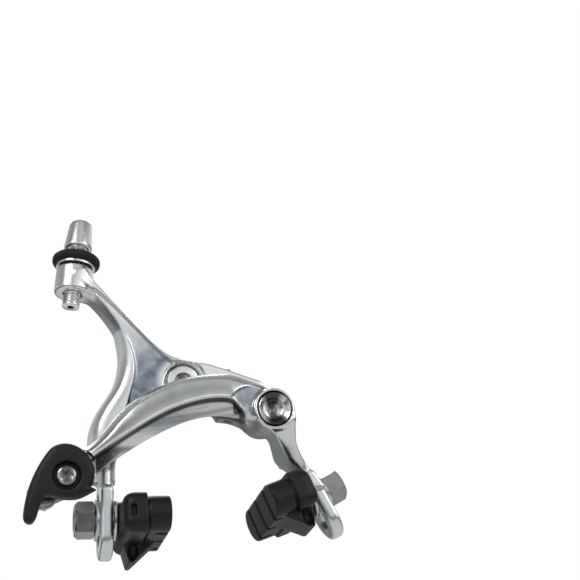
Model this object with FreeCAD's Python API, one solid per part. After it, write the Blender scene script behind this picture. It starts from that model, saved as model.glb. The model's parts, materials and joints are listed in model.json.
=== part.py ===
import FreeCAD, Part
import math
import os

from FreeCAD import Base

# Dual-pivot side-pull rim brake caliper, short reach, millimetres.
# +X is to the right seen from the front, +Y points back to the fork, +Z is up.
# The origin is on the centre bolt's axis, where the star washer meets the fork.
# Every piece is drawn at rest, with the return spring holding the arms open.

# ---- layers from the fork forward, all along -Y ----
STAR_WASHER_T = 1.5
BRIDGE_FRONT = -6.5
HUB_REAR = -7.0
ARM_REAR = -9.0
ARM_FRONT = -19.0
BEAM_REAR = -19.8
BEAM_FRONT = -28.6
BOSS_FRONT = -28.0
LUG_REAR = -23.5
LUG_FRONT = -27.0

# ---- centre bolt and side pivot ----
BOLT_R = 3.0
BOLT_SHOULDER_R = 3.5
BOLT_LENGTH = 18.0
BOLT_HEAD_R = 5.15
BOLT_HEAD_T = 4.2
BOLT_HEAD_FRONT = -18.5
HEX_KEY = 5.0
COUNTERBORE_R = 5.8
HUB_R = 7.6
WEB_DEPTH = 1.2
BUSH_R = 4.5
RUN_GAP = 0.05
PIVOT_X = 24.8
PIVOT_Z = -15.0
PIVOT_HEAD_R = 5.2
PIVOT_BORE_R = 5.75
PIVOT_SHOULDER_R = 4.0
PIVOT_BUSH_R = 5.0
PIVOT_BOSS_R = 6.8
STANDOFF_R = 6.4
STANDOFF_FRONT = -13.6
THRUST_T = 0.5

# ---- return spring: the corners of a formed wire over the bridge ----
SPRING_R = 0.9
SPRING_Y = -4.0
SPRING_ROUTE = [(-24.6, -14.0), (-21.5, -7.0), (-13.0, 1.5), (-6.0, 9.0), (3.4, 9.6), (16.0, 2.8),
                (28.6, -5.8), (33.8, -13.0), (32.6, -20.4), (29.0, -29.4)]

# ---- legs: plates with a stud slot, leaning outward at the bottom ----
LEFT_LEAN = 10.0
RIGHT_LEAN = 18.0
LEFT_STUD = (-31.3, -37.7)
RIGHT_STUD = (36.0, -43.0)
STUD_Y = -13.0
PLATE_T = 4.2
PLATE_R = 7.2
SLOT_R = 3.2
SLOT_TRAVEL = 10.0
LAND_DEPTH = 8.0
LEFT_SLOT_LOW = -5.2
RIGHT_SLOT_LOW = -7.7

# ---- brake pads, washers and nuts, measured along the stud from the plate's middle ----
STUD_R = 3.0
WASHER_T = 1.1
WASHER_R = 6.4
NUT_AF = 10.0
NUT_T = 6.2
PAD_SEAT_R = 5.5
PAD_LENGTH = 36.0
PAD_HEIGHT = 11.0
FLANGE_HEIGHT = 12.4
FLANGE_T = 7.4
FLANGE_R = 3.8
BLOCK_T = 7.2
GROOVE_PITCH = 9.8
GROOVE_W = 1.2
GROOVE_D = 3.6
PAD_HOLE_R = 1.6
GUIDE_LENGTH = 12.0
GUIDE_DROP = 6.2

# ---- how each pad is set on its stud: the gap behind it, its rise, and its turns in degrees ----
LEFT_PAD = {"gap": 0.4, "rise": -1.5, "toe": 0.0, "camber": 0.0, "tilt": 7.7, "guide_from": 0.0}
RIGHT_PAD = {"gap": 1.2, "rise": 1.5, "toe": 5.5, "camber": -7.7, "tilt": 9.8, "guide_from": -GUIDE_LENGTH}

# ---- cable adjuster, on an axis that leans in and back ----
ADJ_BASE = Base.Vector(-30.8, -15.3, 29.7)
ADJ_AXIS = Base.Vector(0.283, 0.156, 0.946)
ADJ_STEM_R = 2.9
ADJ_BOSS_R = 5.9
ADJ_BOSS_FROM = 4.8
ADJ_BOSS_TO = 13.8
HOUSING_R = 2.6
HOUSING_DEPTH = 7.0
CABLE_R = 1.1

# ---- quick-release lever and cable clamp ----
QR_X = -42.3
QR_Z = -24.7
QR_HUB_R = 4.0
QR_FLANGE_R = 5.0
QR_FLANGE_T = 0.9
QR_PIN_R = 1.4
QR_SCREW_R = 2.0
LEVER_FRONT = -33.0
LEVER_REAR = -27.2
LEVER_SWEEP_R = 10.2
CAM_OFFSET = 1.8
PIN_GAP = 0.45
CARRIER_FRONT = -23.4
CARRIER_REAR = -20.6
CLAMP_X = -49.0
CLAMP_Z = -28.0
CLAMP_BOLT_R = 2.0
CLAMP_NUT_AF = 8.0
CABLE_RUN = Base.Vector(0.257, 0.0, 0.966)

# ---- contact between the arms, on the line between the two pivots ----
CONTACT_X = 14.5
CONTACT_Z = -6.6
CONTACT_Y = -15.0
CONTACT_GAP = 0.25

PARTS = "parts"
X_AXIS = Base.Vector(1, 0, 0)
Y_AXIS = Base.Vector(0, 1, 0)
Z_AXIS = Base.Vector(0, 0, 1)
ORIGIN = Base.Vector(0, 0, 0)


def save(name, shape):
    """Writes one sub-part as its own STEP file."""
    shape.exportStep(os.path.join(PARTS, name + ".step"))
    state = "valid" if shape.isValid() else "INVALID"
    print(name, state, "solids", len(shape.Solids), round(shape.Volume, 1))


def at(x, z, y=0.0):
    return Base.Vector(x, y, z)


def rod(radius, x, z, y_front, y_rear):
    """A cylinder along Y."""
    return Part.makeCylinder(radius, y_rear - y_front, at(x, z, y_front), Y_AXIS)


def tube(radius, bore, x, z, y_front, y_rear):
    return rod(radius, x, z, y_front, y_rear).cut(rod(bore, x, z, y_front - 1, y_rear + 1))


def hex_prism(across_flats, x, z, y_front, y_rear, turn=0.0):
    """A hexagonal prism along Y."""
    corner = across_flats / math.sqrt(3)
    angles = [math.radians(60 * k + turn) for k in range(7)]
    points = [at(x + corner * math.cos(a), z + corner * math.sin(a), y_front) for a in angles]
    return Part.Face(Part.makePolygon(points)).extrude(Y_AXIS * (y_rear - y_front))


def curve(points):
    """One smooth edge through the points, or a straight one between two."""
    vectors = [at(x, z) for x, z in points]
    if len(vectors) == 2:
        return Part.makeLine(vectors[0], vectors[1])
    spline = Part.BSplineCurve()
    spline.interpolate(vectors)
    return spline.toShape()


def slab(runs, y_front, y_rear):
    """A prism along Y on a closed outline. Each run after the first starts at the end of the one before."""
    edges = [curve(runs[0])]
    for before, run in zip(runs, runs[1:]):
        edges.append(curve([before[-1]] + run))
    face = Part.Face(Part.Wire(edges))
    face.translate(Y_AXIS * y_front)
    return face.extrude(Y_AXIS * (y_rear - y_front))


def rounded(shape, radius, chosen):
    """Fillets the edges that the chosen test picks."""
    return shape.makeFillet(radius, [e for e in shape.Edges if chosen(e)])


def side_slab(points, x_low, x_high):
    """A prism along X on a polygon of (y, z) points."""
    vectors = [Base.Vector(x_low, y, z) for y, z in points + points[:1]]
    return Part.Face(Part.makePolygon(vectors)).extrude(X_AXIS * (x_high - x_low))


def lies_at(edge, y):
    box = edge.BoundBox
    return abs(box.YMin - y) < 0.01 and abs(box.YMax - y) < 0.01


def on_adjuster(shape, distance):
    """Stands a shape that was drawn up the Z axis on the adjuster's axis."""
    turn = Base.Rotation(Z_AXIS, ADJ_AXIS)
    moved = shape.copy()
    moved.Placement = Base.Placement(ADJ_BASE + ADJ_AXIS * distance, turn)
    return moved


def cone_stack(*levels):
    """A turned piece up the Z axis, from (radius, height) pairs."""
    points = [Base.Vector(0, 0, levels[0][1])]
    points += [Base.Vector(r, 0, z) for r, z in levels]
    points += [Base.Vector(0, 0, levels[-1][1]), points[0]]
    return Part.Face(Part.makePolygon(points)).revolve(ORIGIN, Z_AXIS, 360)


def on_leg(shape, side):
    """Moves a shape from the leg's frame, where +X points inward along the stud, to the caliper."""
    moved = shape.copy()
    stud, lean = (LEFT_STUD, LEFT_LEAN) if side == "left" else (RIGHT_STUD, -RIGHT_LEAN)
    if side == "right":
        moved = moved.mirror(ORIGIN, X_AXIS)
    moved.rotate(ORIGIN, Y_AXIS, lean)
    moved.translate(at(stud[0], stud[1], STUD_Y))
    return moved


def stud_rod(radius, start, end):
    return Part.makeCylinder(radius, end - start, Base.Vector(start, 0, 0), X_AXIS)


def leg_plate(side, low, top):
    """The slotted plate in the leg's frame: a round end below, and its stud slot."""
    half = PLATE_T / 2
    box = Part.makeBox(PLATE_T, 2 * PLATE_R, top - low, Base.Vector(-half, -PLATE_R, low))
    end = Part.makeCylinder(PLATE_R, PLATE_T, Base.Vector(-half, 0, low), X_AXIS)
    plate = box.fuse(end).removeSplitter()
    plate = rounded(plate, 1.0, lambda e: e.BoundBox.ZMax < low + 0.01 and e.BoundBox.XLength < 0.01)
    return on_leg(plate, side)


def stud_slot(side, low):
    return on_leg(upright_slot(SLOT_R, -PLATE_T, PLATE_T, low), side)


def upright_slot(radius, start, end, low):
    """A round-ended prism along the stud, as tall as the stud's travel."""
    slot = Part.makeBox(end - start, 2 * radius, SLOT_TRAVEL, Base.Vector(start, -radius, low))
    for z in (low, low + SLOT_TRAVEL):
        slot = slot.fuse(Part.makeCylinder(radius, end - start, Base.Vector(start, 0, z), X_AXIS))
    return slot


def washer_lands(side, low):
    """The flats on both faces of a leg that its washers slide over, as cutters."""
    radius = WASHER_R + 0.4
    half = PLATE_T / 2
    starts = (half, -half - LAND_DEPTH)
    return [on_leg(upright_slot(radius, start, start + LAND_DEPTH, low), side) for start in starts]


# ---- bridge: what bolts to the fork and carries both pivots ----

def centre_bolt():
    head_rear = BOLT_HEAD_FRONT + BOLT_HEAD_T
    head = rod(BOLT_HEAD_R, 0, 0, BOLT_HEAD_FRONT, head_rear)
    head = rounded(head, 0.6, lambda e: lies_at(e, BOLT_HEAD_FRONT))
    thread = rod(BOLT_R, 0, 0, 0, BOLT_LENGTH)
    thread = thread.makeChamfer(0.6, [e for e in thread.Edges if lies_at(e, BOLT_LENGTH)])
    shank = thread.fuse(rod(BOLT_SHOULDER_R, 0, 0, head_rear, 0))
    key = hex_prism(HEX_KEY, 0, 0, BOLT_HEAD_FRONT - 1, BOLT_HEAD_FRONT + 2.8, 15)
    return head.fuse(shank).cut(key).removeSplitter()


def star_washer():
    washer = tube(8.0, BOLT_SHOULDER_R + RUN_GAP, 0, 0, -STAR_WASHER_T, 0)
    teeth = 24
    for k in range(teeth):
        angle = 360.0 * k / teeth
        notch = Part.makeBox(3.0, 0.5, 0.8, Base.Vector(5.4, -0.5, -0.4))
        notch.rotate(ORIGIN, Y_AXIS, angle)
        washer = washer.cut(notch)
    return washer


def bridge_plate():
    outline = [
        [(-7.4, 3.6), (0.0, 8.2), (6.6, 5.0)],
        [(29.6, -9.8)],
        [(31.6, -15.4), (28.2, -21.0)],
        [(23.3, -19.4), (20.8, -17.9), (18.6, -15.4), (15.0, -13.4), (11.2, -12.3)],
        [(10.2, -10.2), (7.6, -8.7)],
        [(2.0, -8.4), (-5.4, -6.4), (-8.2, 0.0), (-7.4, 3.6)],
    ]
    plate = slab(outline, BRIDGE_FRONT, -STAR_WASHER_T)
    plate = plate.fuse(rod(STANDOFF_R, PIVOT_X, PIVOT_Z, STANDOFF_FRONT, BRIDGE_FRONT))
    plate = plate.cut(rod(BOLT_SHOULDER_R + RUN_GAP, 0, 0, -20, 20))
    plate = plate.cut(rod(BOLT_R, PIVOT_X, PIVOT_Z, -20, 20))
    plate = plate.cut(Part.makeBox(2.6, 2.6, 2.4, at(13.4, -14.2, -5.8)))
    return plate.removeSplitter()


def side_pivot_bolt():
    profile = [
        Base.Vector(0, BOSS_FRONT + 1.0, 0),
        Base.Vector(2.9, BOSS_FRONT + 0.9, 0),
        Base.Vector(PIVOT_HEAD_R - 0.5, BOSS_FRONT - 0.5, 0),
        Base.Vector(PIVOT_HEAD_R, BOSS_FRONT, 0),
        Base.Vector(PIVOT_HEAD_R, BOSS_FRONT + 2.4, 0),
        Base.Vector(PIVOT_SHOULDER_R, BOSS_FRONT + 2.4, 0),
        Base.Vector(PIVOT_SHOULDER_R, STANDOFF_FRONT, 0),
        Base.Vector(BOLT_R, STANDOFF_FRONT, 0),
        Base.Vector(BOLT_R, -2.6, 0),
        Base.Vector(0, -2.6, 0),
    ]
    bolt = Part.Face(Part.makePolygon(profile + [profile[0]])).revolve(ORIGIN, Y_AXIS, 360)
    bolt.translate(at(PIVOT_X, PIVOT_Z))
    return bolt.cut(hex_prism(HEX_KEY, PIVOT_X, PIVOT_Z, BOSS_FRONT - 2, BOSS_FRONT + 4, 15))


def return_spring(radius=SPRING_R):
    """A formed wire over the bridge. Each corner of its route is an arc tangent to both runs."""
    points = [at(x, z, SPRING_Y) for x, z in SPRING_ROUTE]
    edges = []
    start = points[0]
    for before, corner, after in zip(points, points[1:], points[2:]):
        back = before - corner
        onward = after - corner
        reach = 0.45 * min(back.Length, onward.Length)
        back.normalize()
        onward.normalize()
        turn = math.pi - math.acos(back.dot(onward))
        bend_r = reach / math.tan(turn / 2)
        middle = back + onward
        middle.normalize()
        centre = corner + middle * math.hypot(bend_r, reach)
        p1 = corner + back * reach
        p2 = centre - middle * bend_r
        p3 = corner + onward * reach
        edges += [Part.makeLine(start, p1), Part.Arc(p1, p2, p3).toShape()]
        start = p3
    edges.append(Part.makeLine(start, points[-1]))
    path = Part.Wire(edges)
    ring = Part.Wire(Part.makeCircle(radius, points[0], points[1] - points[0]))
    return path.makePipeShell([ring], True, True)


def spring_saddle():
    """A moulded rest on the bridge's top edge, grooved for the spring's crown."""
    block = Part.makeBox(6.4, 2.8, 4.2, at(-3.8, 6.4, SPRING_Y - 1.4))
    block = block.cut(return_spring(SPRING_R + RUN_GAP))
    return block.cut(bridge_plate())


# ---- arms ----

def y_arm():
    """The rear arm: adjuster boss at its upper end, left leg, and a tail that meets the front arm."""
    outline = [
        [(-25.0, 41.0), (-18.7, 30.7), (-8.4, 15.3), (-3.4, 9.3), (-0.6, 7.5), (9.4, 4.0), (15.6, 1.1),
         (24.6, -3.9)],
        [(25.4, -5.6), (23.0, -6.6)],
        [(13.0, -3.4), (9.0, -4.2)],
        [(6.2, -7.6), (0.0, -9.4), (-6.0, -8.4)],
        [(-14.0, -11.0), (-20.0, -14.6), (-24.2, -18.2), (-26.0, -22.0)],
        [(-27.4, -29.6)],
        [(-32.0, -29.4)],
        [(-31.6, -24.0), (-31.7, -14.0), (-27.4, -4.8), (-20.8, 2.8), (-17.8, 10.2), (-17.3, 17.0),
         (-19.6, 25.0), (-24.4, 31.4)],
        [(-30.5, 31.6)],
        [(-25.0, 41.0)],
    ]
    arm = slab(outline, ARM_FRONT, ARM_REAR)
    arm = arm.fuse(rod(HUB_R, 0, 0, ARM_FRONT, HUB_REAR))
    web = [
        [(-22.4, 33.6), (-13.5, 21.3), (-5.4, 9.6)],
        [(-6.4, 4.2), (-7.4, 0.0), (-6.4, -4.4)],
        [(-20.6, -5.6)],
        [(-16.6, 1.0), (-14.5, 6.4), (-13.9, 11.0), (-16.2, 21.2), (-22.4, 33.6)],
    ]
    arm = arm.cut(slab(web, ARM_FRONT - 1, ARM_FRONT + WEB_DEPTH))
    boss = on_adjuster(Part.makeCylinder(ADJ_BOSS_R, ADJ_BOSS_TO - ADJ_BOSS_FROM), ADJ_BOSS_FROM)
    arm = arm.fuse(boss)
    arm = arm.cut(on_adjuster(Part.makeCylinder(2 * ADJ_BOSS_R, 10), ADJ_BOSS_TO))
    arm = arm.fuse(leg_plate("left", LEFT_SLOT_LOW, 10.0))
    for cutter in [stud_slot("left", LEFT_SLOT_LOW)] + washer_lands("left", LEFT_SLOT_LOW):
        arm = arm.cut(cutter)
    arm = arm.cut(on_adjuster(Part.makeCylinder(ADJ_STEM_R + 0.1, 30), -2))
    arm = arm.cut(rod(COUNTERBORE_R, 0, 0, ARM_FRONT - 1, BOLT_HEAD_FRONT + BOLT_HEAD_T + 0.05))
    arm = arm.cut(rod(BUSH_R, 0, 0, -30, 0))
    arm = arm.cut(Part.makeCylinder(2.0, 20, at(CONTACT_X, CONTACT_Z - 2, CONTACT_Y)))
    return arm.removeSplitter()


def c_arm():
    """The front arm: a curved beam from the quick release to the side pivot, and the right leg."""
    beam_outline = [
        [(-33.4, -15.8), (-28.7, -12.7), (-22.9, -7.6), (-16.0, -3.6), (-9.3, -1.3), (-2.6, 0.1), (3.8, 0.5),
         (10.2, -0.3), (17.2, -2.5), (22.9, -5.4), (28.2, -8.7), (31.4, -13.4)],
        [(31.0, -18.4), (24.8, -21.8)],
        [(20.4, -18.8), (14.0, -15.2), (9.0, -13.4), (4.0, -12.6), (-1.2, -13.0), (-7.9, -14.4),
         (-14.6, -16.5), (-21.3, -19.2), (-27.0, -21.8), (-33.0, -25.0)],
        [(-36.0, -23.0), (-36.4, -17.4), (-33.4, -15.8)],
    ]
    arm = slab(beam_outline, BEAM_FRONT, BEAM_REAR)
    long_front = [e for e in arm.Edges if lies_at(e, BEAM_FRONT) and e.BoundBox.XLength > 40]
    lower = min(long_front, key=lambda e: e.BoundBox.ZMax)
    arm = arm.makeChamfer(5.0, 6.0, [lower])
    leg_outline = [
        [(32.0, -14.0), (31.9, -22.0), (32.2, -27.0), (34.0, -32.4), (37.4, -39.0)],
        [(32.2, -39.0)],
        [(30.6, -33.9), (28.2, -29.8), (26.2, -24.9), (22.4, -19.0)],
        [(20.0, -14.0)],
        [(32.0, -14.0)],
    ]
    leg = slab(leg_outline, -28.0, -5.0)
    leg = leg.common(side_slab([(-27.6, -14.0), (-27.0, -21.0), (-20.2, -34.0), (-20.2, -42.0), (-5.8, -42.0),
                                (-5.8, -29.8), (-14.2, -22.6), (-14.2, -14.0)], 15, 45))
    arm = arm.fuse(leg)
    arm = arm.fuse(leg_plate("right", RIGHT_SLOT_LOW, 8.0))
    arm = arm.fuse(rod(PIVOT_BOSS_R, PIVOT_X, PIVOT_Z, BOSS_FRONT, STANDOFF_FRONT - THRUST_T - 0.05))
    lug = rod(6.0, QR_X, QR_Z, LUG_FRONT, LUG_REAR)
    lug = lug.fuse(Part.makeBox(9.0, LUG_REAR - LUG_FRONT, 9.6, at(QR_X, QR_Z - 3.4, LUG_FRONT)))
    arm = arm.fuse(lug)
    contact_lug = Part.makeBox(6.4, 8.2, 4.4, at(CONTACT_X - 3.2, -12.4, BEAM_REAR - 0.2))
    arm = arm.fuse(contact_lug)
    for cutter in [stud_slot("right", RIGHT_SLOT_LOW)] + washer_lands("right", RIGHT_SLOT_LOW):
        arm = arm.cut(cutter)
    arm = arm.cut(rod(LEVER_SWEEP_R, QR_X, QR_Z, BEAM_FRONT - 1, LUG_FRONT))
    arm = arm.cut(rod(PIVOT_BORE_R, PIVOT_X, PIVOT_Z, -40, BOSS_FRONT + 2.5))
    arm = arm.cut(rod(PIVOT_BUSH_R, PIVOT_X, PIVOT_Z, -40, 0))
    arm = arm.cut(rod(QR_HUB_R + RUN_GAP, QR_X, QR_Z, LUG_FRONT - 1, LUG_REAR + 1))
    arm = arm.cut(rod(QR_FLANGE_R + 0.1, QR_X, QR_Z, LUG_REAR - QR_FLANGE_T - 0.05, LUG_REAR + 1))
    scoop = [
        [(11.6, -9.4), (14.6, -7.0), (20.2, -6.2), (24.2, -7.2)],
        [(20.4, -9.9), (18.0, -13.4), (18.4, -17.4)],
        [(14.6, -14.1), (11.6, -9.4)],
    ]
    arm = arm.cut(slab(scoop, BEAM_FRONT - 1, BEAM_FRONT + 1.8))
    return arm.removeSplitter()


def centre_bush():
    return tube(BUSH_R, BOLT_SHOULDER_R + RUN_GAP, 0, 0, BOLT_HEAD_FRONT + BOLT_HEAD_T + 0.05, HUB_REAR)


def side_bush():
    return tube(PIVOT_BUSH_R, PIVOT_SHOULDER_R + RUN_GAP, PIVOT_X, PIVOT_Z, BOSS_FRONT + 2.5,
                STANDOFF_FRONT - THRUST_T - 0.05)


def centre_thrust_washer():
    return tube(6.8, BOLT_SHOULDER_R + RUN_GAP, 0, 0, HUB_REAR + 0.05, BRIDGE_FRONT)


def side_thrust_washer():
    front = STANDOFF_FRONT - THRUST_T
    return tube(STANDOFF_R, PIVOT_SHOULDER_R + RUN_GAP, PIVOT_X, PIVOT_Z, front, STANDOFF_FRONT)


def centring_screw():
    """A grub screw in the rear arm's tail. Its tip meets the front arm's contact pad."""
    screw = cone_stack((0.7, 0), (2.0, 1.3), (2.0, 8.6))
    screw = screw.cut(Part.makeCylinder(1.15, 2.8, Base.Vector(0, 0, 6.2)))
    screw.translate(at(CONTACT_X, CONTACT_Z, CONTACT_Y))
    return screw


def contact_pad():
    top = CONTACT_Z - CONTACT_GAP
    return Part.makeCylinder(2.6, top + 8.0, at(CONTACT_X, -8.0, CONTACT_Y))


def left_spring_cap():
    cap = Part.makeBox(3.8, 6.2, 6.0, at(-29.5, -17.2, ARM_REAR))
    cap = rounded(cap, 0.8, lambda e: e.BoundBox.YLength > 5)
    return cap.cut(return_spring(SPRING_R + RUN_GAP))


def right_spring_cap():
    cap = Part.makeBox(3.0, 6.0, 3.2, at(29.9, -31.0, -5.8))
    cap = rounded(cap, 0.8, lambda e: e.BoundBox.YLength > 2.9)
    return cap.cut(return_spring(SPRING_R + RUN_GAP))


# ---- quick release and cable clamp ----

def qr_lever():
    """A round head with a hooked tail, drawn closed."""
    outline = [
        [(-35.2, -28.2), (-33.9, -24.2), (-35.0, -19.8), (-38.2, -16.4), (-42.8, -15.2), (-47.2, -17.2),
         (-50.8, -21.6), (-53.8, -26.8), (-56.0, -32.8), (-55.6, -35.8), (-53.6, -36.0), (-52.2, -33.6),
         (-50.8, -30.8), (-48.4, -29.6), (-44.6, -31.0), (-39.5, -31.7), (-35.6, -30.9), (-34.2, -30.0)],
        [(-36.2, -28.9)],
        [(-35.2, -28.2)],
    ]
    lever = slab(outline, LEVER_FRONT, LEVER_REAR)
    lever = lever.cut(rod(4.2, QR_X, QR_Z, LEVER_FRONT - 1, LEVER_FRONT + 2.8))
    return lever.cut(rod(QR_SCREW_R, QR_X, QR_Z, -40, 0))


def qr_hub():
    """The lever's hub in the front arm's lug, with an eccentric pin behind."""
    hub = rod(QR_HUB_R, QR_X, QR_Z, LEVER_REAR, LUG_REAR)
    hub = hub.fuse(rod(QR_FLANGE_R, QR_X, QR_Z, LUG_REAR - QR_FLANGE_T, LUG_REAR))
    hub = hub.fuse(rod(QR_PIN_R, QR_X, QR_Z - CAM_OFFSET, LUG_REAR, CARRIER_REAR - 0.1))
    return hub.cut(rod(QR_SCREW_R, QR_X, QR_Z, -40, LUG_REAR - 1.1))


def qr_screw():
    head = rod(3.1, QR_X, QR_Z, LEVER_FRONT + 0.6, LEVER_FRONT + 2.8)
    head = rounded(head, 0.7, lambda e: lies_at(e, LEVER_FRONT + 0.6))
    screw = head.fuse(rod(QR_SCREW_R, QR_X, QR_Z, LEVER_FRONT + 2.8, LUG_REAR - 1.3))
    return screw.cut(hex_prism(3.0, QR_X, QR_Z, LEVER_FRONT - 1, LEVER_FRONT + 2.2, 10))


def cable_carrier():
    """The plate that holds the cable. Its slot lets the eccentric pin lift it."""
    outline = [
        [(-53.6, -25.8)],
        [(-53.6, -30.0)],
        [(-49.0, -32.4)],
        [(-44.4, -30.6)],
        [(-38.8, -29.6)],
        [(-38.8, -23.0)],
        [(-46.0, -22.4)],
        [(-53.6, -25.8)],
    ]
    points = [at(run[0][0], run[0][1], CARRIER_FRONT) for run in outline]
    plate = Part.Face(Part.makePolygon(points)).extrude(Y_AXIS * (CARRIER_REAR - CARRIER_FRONT))
    slot_x = (QR_X - CAM_OFFSET, QR_X)
    for x in slot_x:
        plate = plate.cut(rod(QR_PIN_R + PIN_GAP, x, QR_Z - CAM_OFFSET, -40, 0))
    width = QR_PIN_R + PIN_GAP
    plate = plate.cut(Part.makeBox(CAM_OFFSET, 40, 2 * width, at(slot_x[0], QR_Z - CAM_OFFSET - width, -40)))
    plate = plate.cut(rod(3.4, CLAMP_X, CLAMP_Z, -40, CARRIER_FRONT + 1.2))
    plate = plate.cut(rod(CLAMP_BOLT_R, CLAMP_X, CLAMP_Z, -40, 0))
    groove = Part.makeCylinder(0.8, 20, at(CLAMP_X + 2.9, CLAMP_Z, CARRIER_REAR) - CABLE_RUN * 10, CABLE_RUN)
    return plate.cut(groove)


def cable_clamp_bolt():
    head = rod(3.4, CLAMP_X, CLAMP_Z, CARRIER_FRONT, CARRIER_FRONT + 1.2)
    shank = rod(CLAMP_BOLT_R, CLAMP_X, CLAMP_Z, CARRIER_FRONT + 1.2, CARRIER_REAR + 6.0)
    return head.fuse(shank).removeSplitter()


def cable_clamp_washer():
    return tube(4.8, CLAMP_BOLT_R, CLAMP_X, CLAMP_Z, CARRIER_REAR, CARRIER_REAR + 1.4)


def cable_clamp_nut():
    nut = hex_prism(CLAMP_NUT_AF, CLAMP_X, CLAMP_Z, CARRIER_REAR + 1.4, CARRIER_REAR + 5.2, 30)
    return nut.cut(rod(CLAMP_BOLT_R, CLAMP_X, CLAMP_Z, -40, 0))


# ---- cable adjuster ----

def adjuster_barrel():
    """A threaded stem below a tapered head, with a seat for the cable housing."""
    barrel = cone_stack((ADJ_STEM_R - 0.5, 0), (ADJ_STEM_R, 0.6), (ADJ_STEM_R, 20.4), (4.0, 20.4),
                        (4.6, 21.2), (4.6, 21.8), (4.35, 22.4), (3.7, 30.6), (3.3, 31.0))
    barrel = barrel.cut(Part.makeCylinder(CABLE_R, 40, Base.Vector(0, 0, -2)))
    barrel = barrel.cut(Part.makeCylinder(HOUSING_R, 10, Base.Vector(0, 0, 31.0 - HOUSING_DEPTH)))
    return on_adjuster(barrel, 0)


def adjuster_ring(radius, bore, low, high):
    ring = Part.makeCylinder(radius, high - low, Base.Vector(0, 0, low))
    return ring.cut(Part.makeCylinder(bore, high - low + 2, Base.Vector(0, 0, low - 1)))


def adjuster_nut():
    core = cone_stack((4.8, 15.2), (4.8, 18.2), (4.8, 18.6), (4.2, 19.3))
    return on_adjuster(core.cut(Part.makeCylinder(ADJ_STEM_R + RUN_GAP, 40)), 0)


def adjuster_grip():
    """The black ring that fingers turn, with shallow ribs round its rim."""
    grip = cone_stack((6.9, 15.3), (7.5, 15.9), (7.7, 16.7), (7.5, 17.6), (6.9, 18.2))
    grip = grip.cut(Part.makeCylinder(4.8, 40))
    return on_adjuster(grip, 0)


def adjuster_washer():
    return on_adjuster(adjuster_ring(6.3, 3.2, 14.35, 15.15), 0)


def adjuster_seal():
    return on_adjuster(adjuster_ring(5.4, 3.2, ADJ_BOSS_TO, 14.35), 0)


# ---- brake pads ----

def pad_stud():
    """A threaded stud welded to the steel plate that is moulded into the pad."""
    start = PLATE_T / 2 + WASHER_T
    stud = stud_rod(STUD_R, -(start + NUT_T - 0.8), start + 3.2)
    plate = Part.makeBox(1.6, 16.0, 5.0, Base.Vector(start + 3.2, -8.0, -2.5))
    return stud.fuse(plate).removeSplitter()


def brake_pad(setting):
    """One moulding in the leg's frame: flange, grooved block, and a wheel guide under one half of it."""
    seat = PLATE_T / 2 + WASHER_T
    start = seat + setting["gap"]
    face = start + FLANGE_T
    half = PAD_LENGTH / 2
    radius = PAD_HEIGHT / 2
    flange = Part.makeBox(FLANGE_T, PAD_LENGTH, FLANGE_HEIGHT, Base.Vector(start, -half, -FLANGE_HEIGHT / 2))
    flange = rounded(flange, FLANGE_R, lambda e: e.BoundBox.XLength > FLANGE_T - 1)
    flange = rounded(flange, FLANGE_R / 2, lambda e: e.BoundBox.XMax < start + 0.01)
    straight = PAD_LENGTH - PAD_HEIGHT
    block = Part.makeBox(BLOCK_T, straight, PAD_HEIGHT, Base.Vector(face, -straight / 2, -radius))
    for y in (-straight / 2, straight / 2):
        block = block.fuse(Part.makeCylinder(radius, BLOCK_T, Base.Vector(face, y, 0), X_AXIS))
    block = block.removeSplitter()
    for y in (-GROOVE_PITCH, 0.0, GROOVE_PITCH):
        corner = Base.Vector(face + BLOCK_T - GROOVE_D, y - GROOVE_W / 2, -PAD_HEIGHT)
        block = block.cut(Part.makeBox(GROOVE_D + 1, GROOVE_W, 2 * PAD_HEIGHT, corner))
    tip = -radius - GUIDE_DROP
    root = 0.5 - radius
    corners = [(start + 1.8, root), (face + 4.0, root), (start + 5.0, tip), (start + 3.6, tip)]
    points = [Base.Vector(x, setting["guide_from"], z) for x, z in corners + corners[:1]]
    guide = Part.Face(Part.makePolygon(points)).extrude(Y_AXIS * GUIDE_LENGTH)
    moulding = flange.fuse(block).fuse(guide)
    hole_corner = Base.Vector(start + 2.2, -half - 0.4, -PAD_HOLE_R)
    moulding = moulding.cut(Part.makeBox(2.0, 2.4, 2 * PAD_HOLE_R, hole_corner))
    moulding.rotate(Base.Vector(start, 0, 0), Z_AXIS, -setting["toe"])
    moulding.rotate(Base.Vector(start, 0, 0), Y_AXIS, setting["camber"])
    moulding.rotate(ORIGIN, X_AXIS, -setting["tilt"])
    moulding.translate(Z_AXIS * setting["rise"])
    moulding = moulding.fuse(stud_rod(PAD_SEAT_R, seat, start + 2.0))
    return moulding.cut(pad_stud()).removeSplitter()


def stud_washer(start):
    washer = stud_rod(WASHER_R, start, start + WASHER_T)
    return washer.cut(stud_rod(STUD_R + 0.1, start - 1, start + WASHER_T + 1))


def stud_nut():
    """A hexagon nut with its outer corners turned off."""
    start = PLATE_T / 2 + WASHER_T
    corner = NUT_AF / math.sqrt(3)
    angles = [math.radians(60 * k + 18) for k in range(7)]
    points = [Base.Vector(-start, corner * math.cos(a), corner * math.sin(a)) for a in angles]
    nut = Part.Face(Part.makePolygon(points)).extrude(X_AXIS * -NUT_T)
    dome = cone_stack((corner + 0.2, start - 1), (corner + 0.2, start + NUT_T - 1.1), (4.4, start + NUT_T))
    dome.rotate(ORIGIN, Y_AXIS, -90)
    nut = nut.common(dome)
    return nut.cut(stud_rod(STUD_R + RUN_GAP, -20, 0))


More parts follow.
